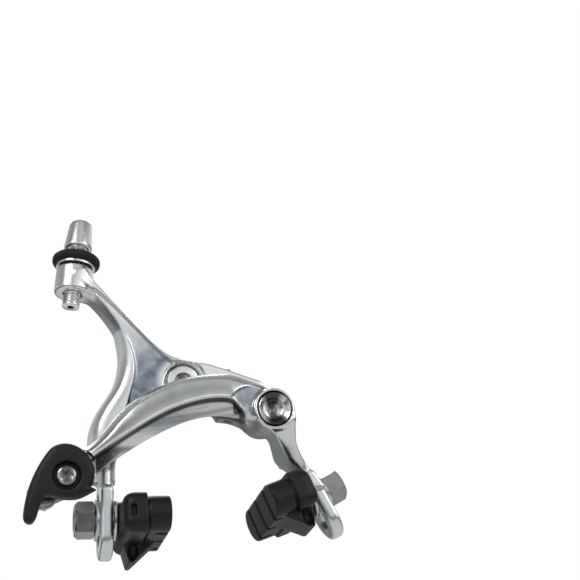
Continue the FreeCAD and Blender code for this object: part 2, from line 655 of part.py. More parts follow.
os.makedirs(PARTS, exist_ok=True)
save("centre_bolt", centre_bolt())
save("star_washer", star_washer())
save("bridge_plate", bridge_plate())
save("side_pivot_bolt", side_pivot_bolt())
save("centre_thrust_washer", centre_thrust_washer())
save("side_thrust_washer", side_thrust_washer())
save("return_spring", return_spring())
save("spring_saddle", spring_saddle())

save("y_arm", y_arm())
save("centre_bush", centre_bush())
save("centring_screw", centring_screw())
save("left_spring_cap", left_spring_cap())
save("adjuster_washer", adjuster_washer())
save("adjuster_seal", adjuster_seal())
save("adjuster_nut", adjuster_nut())
save("adjuster_grip", adjuster_grip())
save("adjuster_barrel", adjuster_barrel())

save("c_arm", c_arm())
save("side_bush", side_bush())
save("contact_pad", contact_pad())
save("right_spring_cap", right_spring_cap())
save("qr_lever", qr_lever())
save("qr_hub", qr_hub())
save("qr_screw", qr_screw())
save("cable_carrier", cable_carrier())
save("cable_clamp_bolt", cable_clamp_bolt())
save("cable_clamp_washer", cable_clamp_washer())
save("cable_clamp_nut", cable_clamp_nut())

for side, setting in (("left", LEFT_PAD), ("right", RIGHT_PAD)):
    outer = -PLATE_T / 2 - WASHER_T
    save(side + "_brake_pad", on_leg(brake_pad(setting), side))
    save(side + "_pad_stud", on_leg(pad_stud(), side))
    save(side + "_outer_washer", on_leg(stud_washer(outer), side))
    save(side + "_inner_washer", on_leg(stud_washer(PLATE_T / 2), side))
    save(side + "_pad_nut", on_leg(stud_nut(), side))
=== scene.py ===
import json
import math

import bmesh
import bpy
import numpy as np
from mathutils import Matrix, Vector


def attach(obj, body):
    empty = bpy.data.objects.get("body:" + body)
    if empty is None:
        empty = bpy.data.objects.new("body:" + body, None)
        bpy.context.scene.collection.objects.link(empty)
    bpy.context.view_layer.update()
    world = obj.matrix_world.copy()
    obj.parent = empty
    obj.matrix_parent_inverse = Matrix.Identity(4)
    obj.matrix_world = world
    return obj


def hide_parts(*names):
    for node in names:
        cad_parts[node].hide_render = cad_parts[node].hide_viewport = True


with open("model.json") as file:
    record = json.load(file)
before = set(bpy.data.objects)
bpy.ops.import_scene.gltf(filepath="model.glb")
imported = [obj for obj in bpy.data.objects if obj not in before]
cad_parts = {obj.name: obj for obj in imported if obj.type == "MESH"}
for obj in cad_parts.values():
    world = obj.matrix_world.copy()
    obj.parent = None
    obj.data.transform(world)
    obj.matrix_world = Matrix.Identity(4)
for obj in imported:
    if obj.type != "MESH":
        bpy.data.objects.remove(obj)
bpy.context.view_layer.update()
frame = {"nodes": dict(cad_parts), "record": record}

MM = 0.001
NET_STEP = 0.3
WELD = 1e-7
SHARP_EDGE = math.radians(32)

# ---------------------------------------------------------------- camera, light, floor

CAMERA_AT = Vector((-0.0782, -0.3871, -0.0729))
CAMERA_AIM = Vector((0.04112, -0.019, 0.02469))
CAMERA_ROLL = math.radians(-12.6)
CAMERA_LENS = 74.5
CAMERA_SENSOR = 36.0
FLOOR_DROP = 0.25


def make_camera():
    data = bpy.data.cameras.new("camera")
    data.lens = CAMERA_LENS
    data.sensor_width = CAMERA_SENSOR
    data.clip_start = 0.01
    data.clip_end = 20
    camera = bpy.data.objects.new("camera", data)
    bpy.context.collection.objects.link(camera)
    level = (CAMERA_AIM - CAMERA_AT).to_track_quat("-Z", "Y").to_matrix().to_4x4()
    camera.matrix_world = Matrix.Translation(CAMERA_AT) @ level @ Matrix.Rotation(CAMERA_ROLL, 4, "Z")
    bpy.context.scene.camera = camera


# ---------------------------------------------------------------- solid fields
# A forging is drawn as a field: the signed distance in mm to its surface, negative inside.

def smooth_run(points, per_span=8):
    """Points along a smooth line through the given ones, or the line itself when there are only two."""
    pts = np.array(points, float)
    if len(pts) == 2:
        return pts
    ends = np.vstack([2 * pts[0] - pts[1], pts, 2 * pts[-1] - pts[-2]])
    t = np.linspace(0, 1, per_span, endpoint=False)[:, None]
    out = []
    for p0, p1, p2, p3 in zip(ends, ends[1:], ends[2:], ends[3:]):
        out.append(0.5 * (2 * p1 + (p2 - p0) * t + (2 * p0 - 5 * p1 + 4 * p2 - p3) * t ** 2
                          + (3 * p1 - p0 - 3 * p2 + p3) * t ** 3))
    return np.vstack(out + [pts[-1:]])


def outline(runs):
    """A closed outline in (x, z). Each run after the first starts where the one before it ends."""
    parts = [smooth_run(runs[0])]
    for before, run in zip(runs, runs[1:]):
        parts.append(smooth_run([before[-1]] + run)[1:])
    return np.vstack(parts)


def line_distance(points, x, z):
    """Distance to an open or closed chain of points."""
    best = np.full(np.broadcast(x, z).shape, np.inf)
    for (ax, az), (bx, bz) in zip(points, points[1:]):
        dx, dz = bx - ax, bz - az
        t = np.clip(((x - ax) * dx + (z - az) * dz) / (dx * dx + dz * dz + 1e-12), 0, 1)
        best = np.minimum(best, (x - ax - t * dx) ** 2 + (z - az - t * dz) ** 2)
    return np.sqrt(best)


def outline_distance(points, x, z):
    """Signed distance to a closed outline, negative inside."""
    inside = np.zeros(np.broadcast(x, z).shape, bool)
    for (ax, az), (bx, bz) in zip(points, points[1:]):
        if az == bz:
            continue
        crosses = (az > z) != (bz > z)
        inside ^= crosses & (x < ax + (z - az) * (bx - ax) / (bz - az))
    distance = line_distance(points, x, z)
    return np.where(inside, -distance, distance)


def merge(a, b, k):
    """Union with a fillet of about k."""
    h = np.clip(k - np.abs(a - b), 0, None) / k
    return np.minimum(a, b) - h * h * k / 4


def common(a, b, k):
    """Intersection with its edges rounded by about k."""
    return -merge(-a, -b, k)


def without(a, b, k):
    return common(a, -b, k)


def ramp(value, low, high):
    """0 below low, 1 above high, smooth between."""
    t = np.clip((value - low) / (high - low), 0, 1)
    return t * t * (3 - 2 * t)


def disc_y(x, y, z, at, radius, front, rear, k=0.6):
    """A cylinder along Y."""
    round_ = np.hypot(x - at[0], z - at[1]) - radius
    return common(common(round_, front - y, k), y - rear, k)


def along(x, y, z, base, axis):
    """Height along an axis and distance from it."""
    dx, dy, dz = x - base[0], y - base[1], z - base[2]
    height = dx * axis[0] + dy * axis[1] + dz * axis[2]
    return height, np.sqrt(np.clip(dx * dx + dy * dy + dz * dz - height * height, 0, None))


def surface_net(field, low, step):
    """Vertices and quads of the surface where a sampled field crosses zero."""
    inside = field < 0
    nx, ny, nz = (n - 1 for n in field.shape)
    corner = {}
    for i in (0, 1):
        for j in (0, 1):
            for k in (0, 1):
                corner[i, j, k] = (slice(i, nx + i), slice(j, ny + j), slice(k, nz + k))
    count = sum(inside[s].astype(np.int8) for s in corner.values())
    cells = (count > 0) & (count < 8)
    where = np.argwhere(cells)
    number = np.full(cells.shape, -1, np.int64)
    number[cells] = np.arange(len(where))
    total = np.zeros((len(where), 3))
    hits = np.zeros(len(where))
    for a in corner:
        for axis in range(3):
            if a[axis]:
                continue
            b = tuple(1 if n == axis else a[n] for n in range(3))
            fa = field[corner[a]][cells]
            fb = field[corner[b]][cells]
            cut = (fa < 0) != (fb < 0)
            t = np.where(cut, fa / np.where(cut, fa - fb, 1), 0)
            point = np.tile(np.array(a, float), (len(where), 1))
            point[:, axis] += t
            total += point * cut[:, None]
            hits += cut
    verts = (where + total / hits[:, None]) * step + np.array(low)
    quads = []
    for axis in range(3):
        others = [n for n in range(3) if n != axis]
        ahead = [slice(None)] * 3
        ahead[axis] = slice(1, None)
        here = [slice(None)] * 3
        here[axis] = slice(None, -1)
        change = inside[tuple(here)] != inside[tuple(ahead)]
        for n in others:
            edge = [slice(None)] * 3
            edge[n] = slice(1, -1)
            change = change[tuple(edge)]
        at = np.argwhere(change)
        for n in others:
            at[:, n] += 1
        starts = inside[tuple(at.T)]
        ring = []
        for dj, dk in ((-1, -1), (0, -1), (0, 0), (-1, 0)):
            cell = at.copy()
            cell[:, others[0]] += dj
            cell[:, others[1]] += dk
            ring.append(number[tuple(cell.T)])
        quad = np.stack(ring, 1)
        flip = starts if axis == 1 else ~starts
        quad[flip] = quad[flip][:, ::-1]
        quads.append(quad)
    return verts, np.vstack(quads)


def relax(verts, quads, rounds, strength=0.5):
    """Evens out the net without shrinking it much: each smoothing pass is followed by a weaker push back."""
    pairs = np.vstack([quads[:, [0, 1]], quads[:, [1, 2]], quads[:, [2, 3]], quads[:, [3, 0]]])
    pairs = np.unique(np.sort(pairs, 1), axis=0)
    a, b = pairs[:, 0], pairs[:, 1]
    degree = np.bincount(pairs.ravel(), minlength=len(verts))[:, None]
    for n in range(2 * rounds):
        total = np.zeros_like(verts)
        for c in range(3):
            total[:, c] = (np.bincount(a, verts[b, c], len(verts))
                           + np.bincount(b, verts[a, c], len(verts)))
        weight = strength if n % 2 == 0 else -strength * 1.02
        verts = verts + weight * (total / degree - verts)
    return verts


def piece_from(name, verts, faces, body, smooth=True):
    """A mesh object, in metres, from points in mm, that rides on a body."""
    mesh = bpy.data.meshes.new(name)
    mesh.from_pydata((np.asarray(verts) * MM).tolist(), [], [list(map(int, f)) for f in faces])
    mesh.validate()
    mesh.update()
    obj = bpy.data.objects.new(name, mesh)
    bpy.context.collection.objects.link(obj)
    for polygon in mesh.polygons:
        polygon.use_smooth = smooth
    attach(obj, body)
    return obj


def forge(name, field, low, high, step, body, rounds=4, place=None):
    """Samples a field in a box, makes its surface, and puts it in place if it was drawn elsewhere."""
    axes = [np.arange(a, b + step, step) for a, b in zip(low, high)]
    x, y, z = (v.reshape([-1 if n == m else 1 for m in range(3)]) for n, v in enumerate(axes))
    verts, quads = surface_net(np.broadcast_to(field(x, y, z), [len(a) for a in axes]), low, step)
    verts = relax(verts, quads, rounds)
    return piece_from(name, verts if place is None else place(verts), quads, body)


def mark(obj, rule):
    """Stores numbers on a mesh's vertices for its material, by a rule of their places in mm and normals."""
    count = len(obj.data.vertices)
    at = np.empty(3 * count)
    facing = np.empty(3 * count)
    obj.data.vertices.foreach_get("co", at)
    obj.data.vertices.foreach_get("normal", facing)
    at = at.reshape(-1, 3).T / MM
    for name, values in rule(*at, *facing.reshape(-1, 3).T).items():
        layer = obj.data.attributes.new(name, "FLOAT", "POINT")
        layer.data.foreach_set("value", np.broadcast_to(values, count).astype(np.float32))


def hexagon(across_flats):
    """Distance from the middle to a hexagon's edge, with a corner at angle 0."""
    return lambda angle: across_flats / 2 / np.cos(np.mod(angle, math.pi / 3) - math.pi / 6)


def value_at(rule, angle):
    return rule(angle) if callable(rule) else np.full(len(angle), float(rule))


def turned(name, rings, origin, axis, body, segments=96, start=0.0, closed=False):
    """A turned piece: rings of (radius, height) along an axis, each a number or a rule of the angle."""
    axis = np.array(axis, float) / np.linalg.norm(axis)
    side = np.cross(axis, (0, 0, 1) if abs(axis[2]) < 0.9 else (1, 0, 0))
    side /= np.linalg.norm(side)
    other = np.cross(axis, side)
    angle = np.arange(segments) * 2 * math.pi / segments
    verts = []
    for radius, height in rings:
        r, h = value_at(radius, angle), value_at(height, angle)
        c, s = np.cos(angle + start), np.sin(angle + start)
        verts.append(np.array(origin) + h[:, None] * axis
                     + (r * c)[:, None] * side + (r * s)[:, None] * other)
    faces = []
    spans = len(rings) if closed else len(rings) - 1
    for n in range(spans):
        a, b = n * segments, (n + 1) % len(rings) * segments
        for k in range(segments):
            m = (k + 1) % segments
            faces.append((a + k, a + m, b + m, b + k))
    obj = piece_from(name, np.vstack(verts), faces, body)
    tidy = bmesh.new()
    tidy.from_mesh(obj.data)
    bmesh.ops.remove_doubles(tidy, verts=tidy.verts, dist=WELD)
    bmesh.ops.recalc_face_normals(tidy, faces=tidy.faces)
    tidy.to_mesh(obj.data)
    tidy.free()
    obj.data.set_sharp_from_angle(angle=SHARP_EDGE)
    return obj


def thread(radius, depth, pitch, low, high, rows=6):
    """Rings of a screw thread between two heights, running out at both ends."""
    heights = np.linspace(low, high, int((high - low) / pitch * rows) + 1)
    rings = []
    for h in heights:
        fade = min(1.0, (h - low) / pitch, (high - h) / pitch)

        def ring(angle, h=h, fade=fade):
            return radius - depth * fade * (0.5 + 0.5 * np.cos(2 * math.pi * h / pitch - angle))

        rings.append((ring, h))
    return rings


# ---------------------------------------------------------------- the two arms

JOINTS = {joint["name"]: joint for joint in frame["record"]["behaviour"]["joints"]}


def joint_place(name):
    return np.array(JOINTS[name]["pos_m"]) / MM


def leg_from(side):
    """A leg's stud, its lean in degrees and the low end of its slot, from its pad's two joints."""
    stud = joint_place(side + "_pad_tilt")
    slide = JOINTS[side + "_pad_height"]
    lean = math.degrees(math.atan2(slide["axis"][0], slide["axis"][2]))
    return dict(stud=(stud[0], stud[2]), lean=lean, low=slide["range_m"][0] / MM)


NUT_HEIGHT = 16.6
# The drawn legs are a little thinner than the gap between their washers, so that no two faces coincide.
LEG_HALF = 2.08
LEG_ROUND = 7.2
SLOT_HALF = 3.2
SLOT_LONG = 10.0
WASHER_ROOM = 6.75
WASHER_GAP_HALF = 2.14
ADJ_AXIS = tuple(JOINTS["adjuster_turn"]["axis"])
ADJ_BASE = tuple(joint_place("adjuster_turn") - NUT_HEIGHT * np.array(ADJ_AXIS))
PIVOT = tuple(joint_place("c_arm_pivot")[[0, 2]])
QR = tuple(joint_place("qr_turn")[[0, 2]])
STUD_Y = joint_place("left_pad_tilt")[1]
LEFT_LEG = leg_from("left")
RIGHT_LEG = leg_from("right")

Y_LEFT = [(-30.0, 38.4), (-27.0, 36.2), (-21.5, 28.6), (-18.0, 21.6), (-17.3, 18.0), (-17.8, 10.2),
          (-20.8, 2.8), (-27.4, -4.8), (-30.4, -9.6), (-31.7, -14.0), (-32.0, -19.0), (-31.6, -24.0),
          (-33.2, -36.0)]
Y_FOOT = [(-29.0, -36.4)]
Y_UNDER = [(-27.2, -29.0), (-24.2, -18.2), (-14.0, -11.0), (-6.0, -8.4), (0.0, -9.4), (6.2, -7.6),
           (9.0, -4.2)]
Y_TAIL = [(13.0, -3.4), (23.0, -6.6)]
Y_TIP = [(25.4, -5.6), (24.6, -3.9)]
Y_TOP = [(21.7, -2.4), (9.4, 4.0), (-0.6, 7.5), (-8.4, 15.3), (-25.0, 41.0)]
WEB_TOP = [(-23.2, 34.6), (-16.9, 27.1), (-8.1, 14.1), (-5.0, 9.8)]
WEB_HUB = [(-1.0, 5.0), (2.0, 0.0), (0.0, -6.0)]
WEB_FOOT = [(-21.0, -10.0)]
WEB_LEFT = [(-18.6, -3.2), (-14.8, 6.4), (-15.4, 16.2), (-20.4, 26.4), (-23.2, 34.6)]


def leg_frame(leg, x, y, z):
    """Coordinates in a leg's own frame: across it (positive inward), along Y from its middle, and up it."""
    a = math.radians(leg["lean"])
    dx, dz = x - leg["stud"][0], z - leg["stud"][1]
    across = dx * math.cos(a) - dz * math.sin(a)
    up = dx * math.sin(a) + dz * math.cos(a)
    return (across if leg["lean"] > 0 else -across), y - STUD_Y, up


def leg_field(leg, x, y, z, half, top):
    """A slotted plate with a round end and softened edges."""
    across, depth, up = leg_frame(leg, x, y, z)
    face = np.hypot(depth, np.clip(leg["low"] - up, 0, None)) - LEG_ROUND
    face = common(face, up - top, 1.0)
    plate = common(face, np.abs(across) - half, 1.4)
    beyond = np.maximum(leg["low"] - up, up - leg["low"] - SLOT_LONG)
    slot = np.hypot(depth, np.maximum(beyond, 0)) - SLOT_HALF
    return plate, slot


def y_arm_field(x, y, z):
    edge = outline([Y_LEFT, Y_FOOT, Y_UNDER, Y_TAIL, Y_TIP, Y_TOP, [Y_LEFT[0]]])
    inside = outline_distance(edge, x, z)
    upper = line_distance(smooth_run(Y_TOP), x, z)
    left = line_distance(smooth_run(Y_LEFT), x, z)
    soft = 0.5 + 3.9 * ramp(upper - left, -1.5, 3.0)
    front = -19.0 + 0.9 * ramp(-z, 18.0, 24.0)
    body = common(inside - 0.10 * np.clip(y + 19.0, 0, 8), front - y, soft)
    body = common(body, y + 9.0, 1.6)
    hub = disc_y(x, y, z, (0, 0), 6.9, -19.0, -7.0, 1.0)
    body = merge(body, hub, 1.0)

    web = outline_distance(outline([WEB_TOP, WEB_HUB, WEB_FOOT, WEB_LEFT]), x, z)
    floor = y + 17.9 + 0.25 * ramp(z, 20, 32)
    near_left = line_distance(smooth_run(WEB_LEFT), x, z)
    near_top = line_distance(smooth_run(WEB_TOP), x, z)
    body = without(body, common(web, floor, 0.3 + 1.2 * ramp(near_top - near_left, 0, 3)), 0.35)

    height, radius = along(x, y, z, ADJ_BASE, ADJ_AXIS)
    boss = common(common(radius - 5.9, 4.8 - height, 1.3), height - 13.8, 0.7)
    body = merge(body, boss, 2.2)
    body = common(body, height - 13.8, 0.6)

    plate, slot = leg_field(LEFT_LEG, x, y, z, LEG_HALF, 9.6)
    body = merge(body, plate, 1.2)
    body = without(body, slot, 0.5)
    across, depth, up = leg_frame(LEFT_LEG, x, y, z)
    swept = np.hypot(depth, np.clip(up - LEFT_LEG["low"] - SLOT_LONG, 0, None)) - WASHER_ROOM
    body = np.maximum(body, -np.maximum(swept, WASHER_GAP_HALF - np.abs(across)))
    body = without(body, np.broadcast_to(radius - 3.0, body.shape), 0.3)
    sink = np.hypot(x, z) - 5.8 - np.clip(-17.0 - y, 0, None) * 0.7
    body = without(body, np.maximum(sink, y + 14.3), 0.25)
    body = np.maximum(body, -(np.hypot(x, z) - 4.5))
    screw = np.hypot(x - 14.5, y + 15.0) - 2.0
    return np.maximum(body, -screw)


C_TOP = [(-36.3, -17.6), (-35.6, -16.5), (-33.4, -15.8), (-28.7, -12.7), (-22.9, -7.6), (-16.0, -3.6),
         (-2.6, 0.1), (10.2, -0.3), (17.2, -2.5), (27.8, -9.2), (30.6, -12.8), (31.2, -16.6)]
C_END = [(30.4, -19.6), (27.0, -21.4), (23.4, -21.0)]
C_LOW = [(20.0, -18.2), (9.6, -13.7), (-1.2, -13.2), (-14.6, -16.6), (-27.0, -21.7), (-33.0, -25.2)]
C_TIP = [(-36.4, -23.0), (-36.3, -17.6)]
CREASE = [(-36.5, -22.2), (-30.9, -18.8), (-11.3, -10.7), (1.7, -8.3), (11.1, -9.3), (14.6, -13.0),
          (22.0, -20.5), (26.0, -23.0)]
SCOOP = [[(11.2, -9.3), (15.2, -6.6), (20.2, -6.1), (24.4, -7.4)],
         [(20.4, -9.9), (18.1, -13.4), (18.6, -17.2)],
         [(14.7, -13.6), (11.2, -9.3)]]
LEG_INNER = [(18.6, -16.0), (22.4, -20.6), (27.4, -30.2), (30.7, -34.2), (33.6, -41.0)]
LEG_OUTER = [(38.0, -41.0)]
LEG_SIDE = [(35.6, -36.6), (31.0, -27.4), (30.7, -22.0), (31.2, -15.0)]


def c_arm_field(x, y, z):
    inside = outline_distance(outline([C_TOP, C_END, C_LOW, C_TIP]), x, z)
    crease = smooth_run(CREASE)
    x_row = x.reshape(-1)
    crease_z = np.interp(x_row, crease[:, 0], crease[:, 1]).reshape(x.shape)
    top = smooth_run(C_TOP)
    top_z = np.interp(x_row, top[:, 0], top[:, 1]).reshape(x.shape)
    above = (z - crease_z) / np.clip(top_z - crease_z, 2.5, None)
    leaning = -28.7 + 2.6 * np.clip(above, 0, 1.3) ** 2
    below = crease_z - z
    bevel = -28.7 + 1.1 * ramp(below, 0.0, 1.0) + 1.1 * np.clip(below, 0, None)
    upper_face = (leaning - y) / 1.15
    lower_face = (bevel - y) / 1.65
    face = common(upper_face, lower_face, 0.2)
    body = common(inside, face, 1.5 + 2.2 * ramp(above, 0.3, 0.9))
    body = common(body, y + 19.8, 1.4)

    leg = outline_distance(outline([LEG_INNER, LEG_OUTER, LEG_SIDE, [LEG_INNER[0]]]), x, z)
    leg_front = -27.8 + 7.6 * ramp(-z, 19.0, 35.0)
    leg_rear = -14.2 + 8.4 * ramp(-z, 22.6, 29.8)
    leg = common(leg, (leg_front - y) / 1.2, 1.1)
    leg = common(leg, (y - leg_rear) / 1.6, 1.2)
    body = merge(body, leg, 1.6)

    boss = disc_y(x, y, z, PIVOT, 6.6, -28.2, -14.15, 0.7)
    body = merge(body, boss, 0.8)

    scoop = outline_distance(outline(SCOOP), x, z)
    scoop_floor = y + 28.4 - 0.2 * np.clip(x - 11.0, 0, 12)
    body = without(body, common(scoop, scoop_floor, 0.8), 0.2)

    plate, slot = leg_field(RIGHT_LEG, x, y, z, LEG_HALF, 7.4)
    body = merge(body, plate, 1.2)
    body = without(body, slot, 0.5)

    lug = disc_y(x, y, z, QR, 6.0, -27.0, -23.5, 0.8)
    arm_bar = np.maximum(np.maximum(np.abs(x + 37.8) - 4.5, np.abs(z + 23.3) - 4.8),
                         np.abs(y + 25.25) - 1.75)
    body = merge(body, np.minimum(lug, arm_bar), 1.0)
    sweep = np.maximum(np.hypot(x - QR[0], z - QR[1]) - 10.0, y + 27.0)
    body = np.maximum(body, -sweep)
    body = np.maximum(body, -(np.hypot(x - QR[0], z - QR[1]) - 4.05))
    seat = np.maximum(np.hypot(x - QR[0], z - QR[1]) - 5.1, -24.45 - y)
    body = np.maximum(body, -seat)

    stop = np.maximum(np.maximum(np.abs(x - 14.5) - 3.2, np.abs(z + 10.2) - 2.2), np.abs(y + 15.9) - 4.1)
    body = np.minimum(body, stop)
    bore = np.hypot(x - PIVOT[0], z - PIVOT[1])
    body = without(body, np.maximum(bore - 5.7, y + 25.5), 0.2)
    return np.maximum(body, -(bore - 5.0))


def y_arm_marks(x, y, z, nx, ny, nz):
    """Which parts of the rear arm are plain polished metal, mottled web floor, or dull side wall."""
    web = outline_distance(outline([WEB_TOP, WEB_HUB, WEB_FOOT, WEB_LEFT]), x, z)
    floor = ramp(-web, -0.2, 0.5) * ramp(-ny, 0.6, 0.9) * ramp(y, -18.6, -18.2) * ramp(-y, 15.5, 16.5)
    floor = floor * ramp(np.hypot(x, z), 6.6, 9.6)
    side = ramp(-nx, 0.45, 0.98) * ramp(y, -18.4, -14.0) + ramp(ny, 0.2, 0.6)
    return {"floor": floor, "dull": np.clip(side, 0, 1),
            "shade": np.zeros_like(x), "under": np.zeros_like(x)}


def c_arm_marks(x, y, z, nx, ny, nz):
    """Dull side walls of the front arm's leg, the mottled floor finish and painted shade in its scoop,
    painted shade on the beam above its crease, and the depth in mm below the beam's crease.
    """
    crease = smooth_run(CREASE)
    below = np.interp(x, crease[:, 0], crease[:, 1]) - z
    on_beam = ramp(-y, 19.5, 21.5) * ramp(-nz, -0.35, 0.1) * ramp(17.0 - x, 0, 6)
    scoop = outline_distance(outline(SCOOP), x, z)
    pocket = ramp(-scoop, -0.1, 0.6) * ramp(y, -28.2, -27.6)
    side = ramp(-nx, 0.45, 0.8) * ramp(-z, 20, 23) + ramp(ny, 0.2, 0.6)
    # Painted shade: the beam's face from 0.5 to about 6.5 mm above the crease is darkened, and the
    # undarkened strip just above the crease stands as a painted highlight.
    shade = ramp(-below, 0.5, 1.3) * ramp(below + 6.5, 0, 4.5) * ramp(-y, 24.0, 25.5) * ramp(16.0 - x, 0, 4)
    # The scoop's pocket takes the mottled floor finish, with painted shade on top.
    return {"floor": 0.85 * pocket, "dull": np.clip(side, 0, 1),
            "shade": np.clip(0.45 * shade + 0.4 * pocket, 0, 1),
            "under": np.where(below > 0, below, 0) * on_beam}


def forge_arms():
    y_arm = forge("rear_arm_forging", y_arm_field, (-38.6, -21.2, -51.4), (26.6, -5.0, 45.6),
                  NET_STEP, "y_arm", 8)
    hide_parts("y_arm")
    mark(y_arm, y_arm_marks)
    c_arm = forge("front_arm_forging", c_arm_field, (-49.4, -29.8, -58.6), (43.4, -5.0, 1.6),
                  NET_STEP, "c_arm", 8)
    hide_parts("c_arm")
    mark(c_arm, c_arm_marks)
    return y_arm, c_arm


# ---------------------------------------------------------------- pads, lever and bridge

LEFT_PAD = dict(back=3.6, rise=-1.5, toe=0.0, camber=0.0, tilt=7.7, guide_from=0.0)
RIGHT_PAD = dict(back=4.4, rise=1.5, toe=5.5, camber=-7.7, tilt=9.8, guide_from=-12.0)
FLANGE_T = 7.4
PAD_T = 14.6
PLATE_HALF = 2.1
WASHER_T = 1.1
NUT_T = 6.2
CLAMP = (-49.0, -28.0)
CAM_OFFSET = 1.8


def rounded_box(a, b, half_a, half_b, radius):
    """Distance in a plane to a rectangle with round corners."""
    qa, qb = np.abs(a) - half_a + radius, np.abs(b) - half_b + radius
    return np.hypot(np.clip(qa, 0, None), np.clip(qb, 0, None)) + np.minimum(np.maximum(qa, qb), 0) - radius


def pad_field(guide_from):
    """A brake pad before it is set on its stud, with its wheel guide along one half of its length."""
    def field(u, y, z):
        flange = rounded_box(y, z, 18.0, 6.2, 3.8)
        flange = common(common(flange, -u, 4.2), u - FLANGE_T, 0.5)
        block = np.hypot(np.clip(np.abs(y) - 12.5, 0, None), z) - 5.4
        block = block + 0.5 * ramp(FLANGE_T + 0.7 - u, 0, 0.2)
        block = common(common(block, FLANGE_T - 1.0 - u, 0.2), u - PAD_T, 1.0)
        for middle in (-9.8, 0.0, 9.8):
            block = without(block, np.maximum(np.abs(y - middle) - 0.85, PAD_T - 4.0 - u) + 0 * z, 0.2)
        inner = ((u - 12.2) * 6.6 + (z + 5.0) * -7.4) / math.hypot(6.6, 7.4)
        outer = 1.8 - u - 0.28 * (z + 5.0)
        guide = common(common(inner, outer, 0.6), np.abs(y - guide_from - 6.0) - 6.0, 0.7)
        guide = common(common(guide, z + 4.0, 0.3), -11.7 - z, 0.5)
        hollow = np.sqrt((u - 4.9) ** 2 / 0.36 + (y - guide_from + 0.6) ** 2 / 0.7 + (z + 8.4) ** 2) - 2.9
        pad = merge(merge(flange, block, 0.3), without(guide, hollow, 0.5), 0.5)
        hole = np.maximum(np.hypot(u - 3.2, np.clip(np.abs(z) - 1.1, 0, None)) - 0.8, y + 16.2)
        return without(pad, hole, 0.3) if guide_from == 0 else pad
    return field


def turned_by(a, b, degrees):
    angle = math.radians(degrees)
    return a * math.cos(angle) + b * math.sin(angle), b * math.cos(angle) - a * math.sin(angle)


def on_leg(leg, verts):
    """From a leg's frame, where the first axis points inward along the stud, to the caliper's."""
    u, y, z = np.asarray(verts, float).T
    a = math.radians(leg["lean"])
    across = u if leg["lean"] > 0 else -u
    x = leg["stud"][0] + across * math.cos(a) + z * math.sin(a)
    return np.stack([x, y + STUD_Y, leg["stud"][1] + z * math.cos(a) - across * math.sin(a)], 1)


def set_pad(leg, setting, verts):
    """Turns and lifts a pad as it is set on its stud."""
    u, y, z = np.asarray(verts, float).T
    u, y = turned_by(u, y, setting["toe"])
    u, z = turned_by(u, z, setting["camber"])
    y, z = turned_by(y, z, setting["tilt"])
    return on_leg(leg, np.stack([u + setting["back"], y, z + setting["rise"]], 1))


def clamp_set(side, leg, setting):
    """A pad with its stud, washers and nut."""
    pad = forge(side + "_pad_moulding", pad_field(setting["guide_from"]), (-1.0, -19.0, -12.8),
                (15.6, 19.0, 7.2), NET_STEP, side + "_pad", 2, lambda verts: set_pad(leg, setting, verts))
    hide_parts(side + "_brake_pad")
    origin = on_leg(leg, [(0, 0, 0)])[0]
    outward = origin - on_leg(leg, [(1, 0, 0)])[0]
    low = PLATE_HALF + WASHER_T
    high = setting["back"] + 2.0
    seat = turned(side + "_pad_seat", [(5.5, low), (5.5, high), (3.1, high), (3.1, low)],
                  origin, -outward, side + "_pad", closed=True)
    tip = PLATE_HALF + WASHER_T + NUT_T - 0.8
    rings = [(0, -5.6), (3.0, -5.6)] + thread(3.0, 0.32, 1.0, -4.6, tip - 0.5)
    rings += [(2.5, tip), (2.2, tip), (0, tip - 0.3)]
    stud = turned(side + "_stud_thread", rings, origin, outward, side + "_pad", 48)
    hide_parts(side + "_pad_stud")
    made = {"rubber": [pad, seat], "zinc": [], "steel": [stud]}
    for where, near in (("outer", PLATE_HALF), ("inner", -PLATE_HALF - WASHER_T)):
        far = near + WASHER_T
        rings = [(3.1, near + 0.1), (3.2, near), (6.25, near), (6.4, near + 0.2),
                 (6.4, far - 0.3), (6.15, far), (3.25, far), (3.1, far - 0.1)]
        washer = turned("%s_%s_washer_ring" % (side, where), rings, origin, outward, side + "_stud_clamp",
                        closed=True)
        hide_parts("%s_%s_washer" % (side, where))
        made["zinc"].append(washer)
    nut = nut_piece(side + "_hex_nut", 10.0, 3.05, low, low + NUT_T, origin, outward, side + "_stud_clamp")
    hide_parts(side + "_pad_nut")
    made["steel"].append(nut)
    return made


def nut_piece(name, across_flats, bore, low, high, origin, axis, body, start=0.3):
    """A hexagon nut with both ends turned off at the corners."""
    hexed = hexagon(across_flats)
    flat = across_flats / 2
    rings = [(bore, low + 0.3), (bore + 0.4, low), (flat - 0.1, low),
             (hexed, lambda a: low + 0.6 * (hexed(a) - flat) + 0.1),
             (hexed, lambda a: high - 0.35 - 1.0 * (hexed(a) - flat)),
             (lambda a: 0.5 * (hexed(a) + flat) - 0.15, lambda a: high - 0.16 - 0.45 * (hexed(a) - flat)),
             (flat - 0.35, high), (bore + 0.7, high), (bore + 0.3, high - 0.2), (bore, high - 0.6)]
    return turned(name, rings, origin, axis, body, 96, start, closed=True)


LEVER = [[(-35.0, -28.3), (-33.9, -24.5), (-34.7, -20.4), (-37.4, -16.9), (-40.6, -15.2), (-43.9, -15.2),
         (-46.6, -16.8), (-50.6, -21.4), (-53.8, -26.7), (-56.0, -32.7), (-56.1, -35.2), (-54.6, -36.4),
         (-52.8, -35.2), (-50.2, -30.2), (-48.0, -29.6), (-43.8, -31.2), (-39.5, -31.7),
         (-34.3, -30.2)], [(-36.0, -28.9)], [(-35.0, -28.3)]]


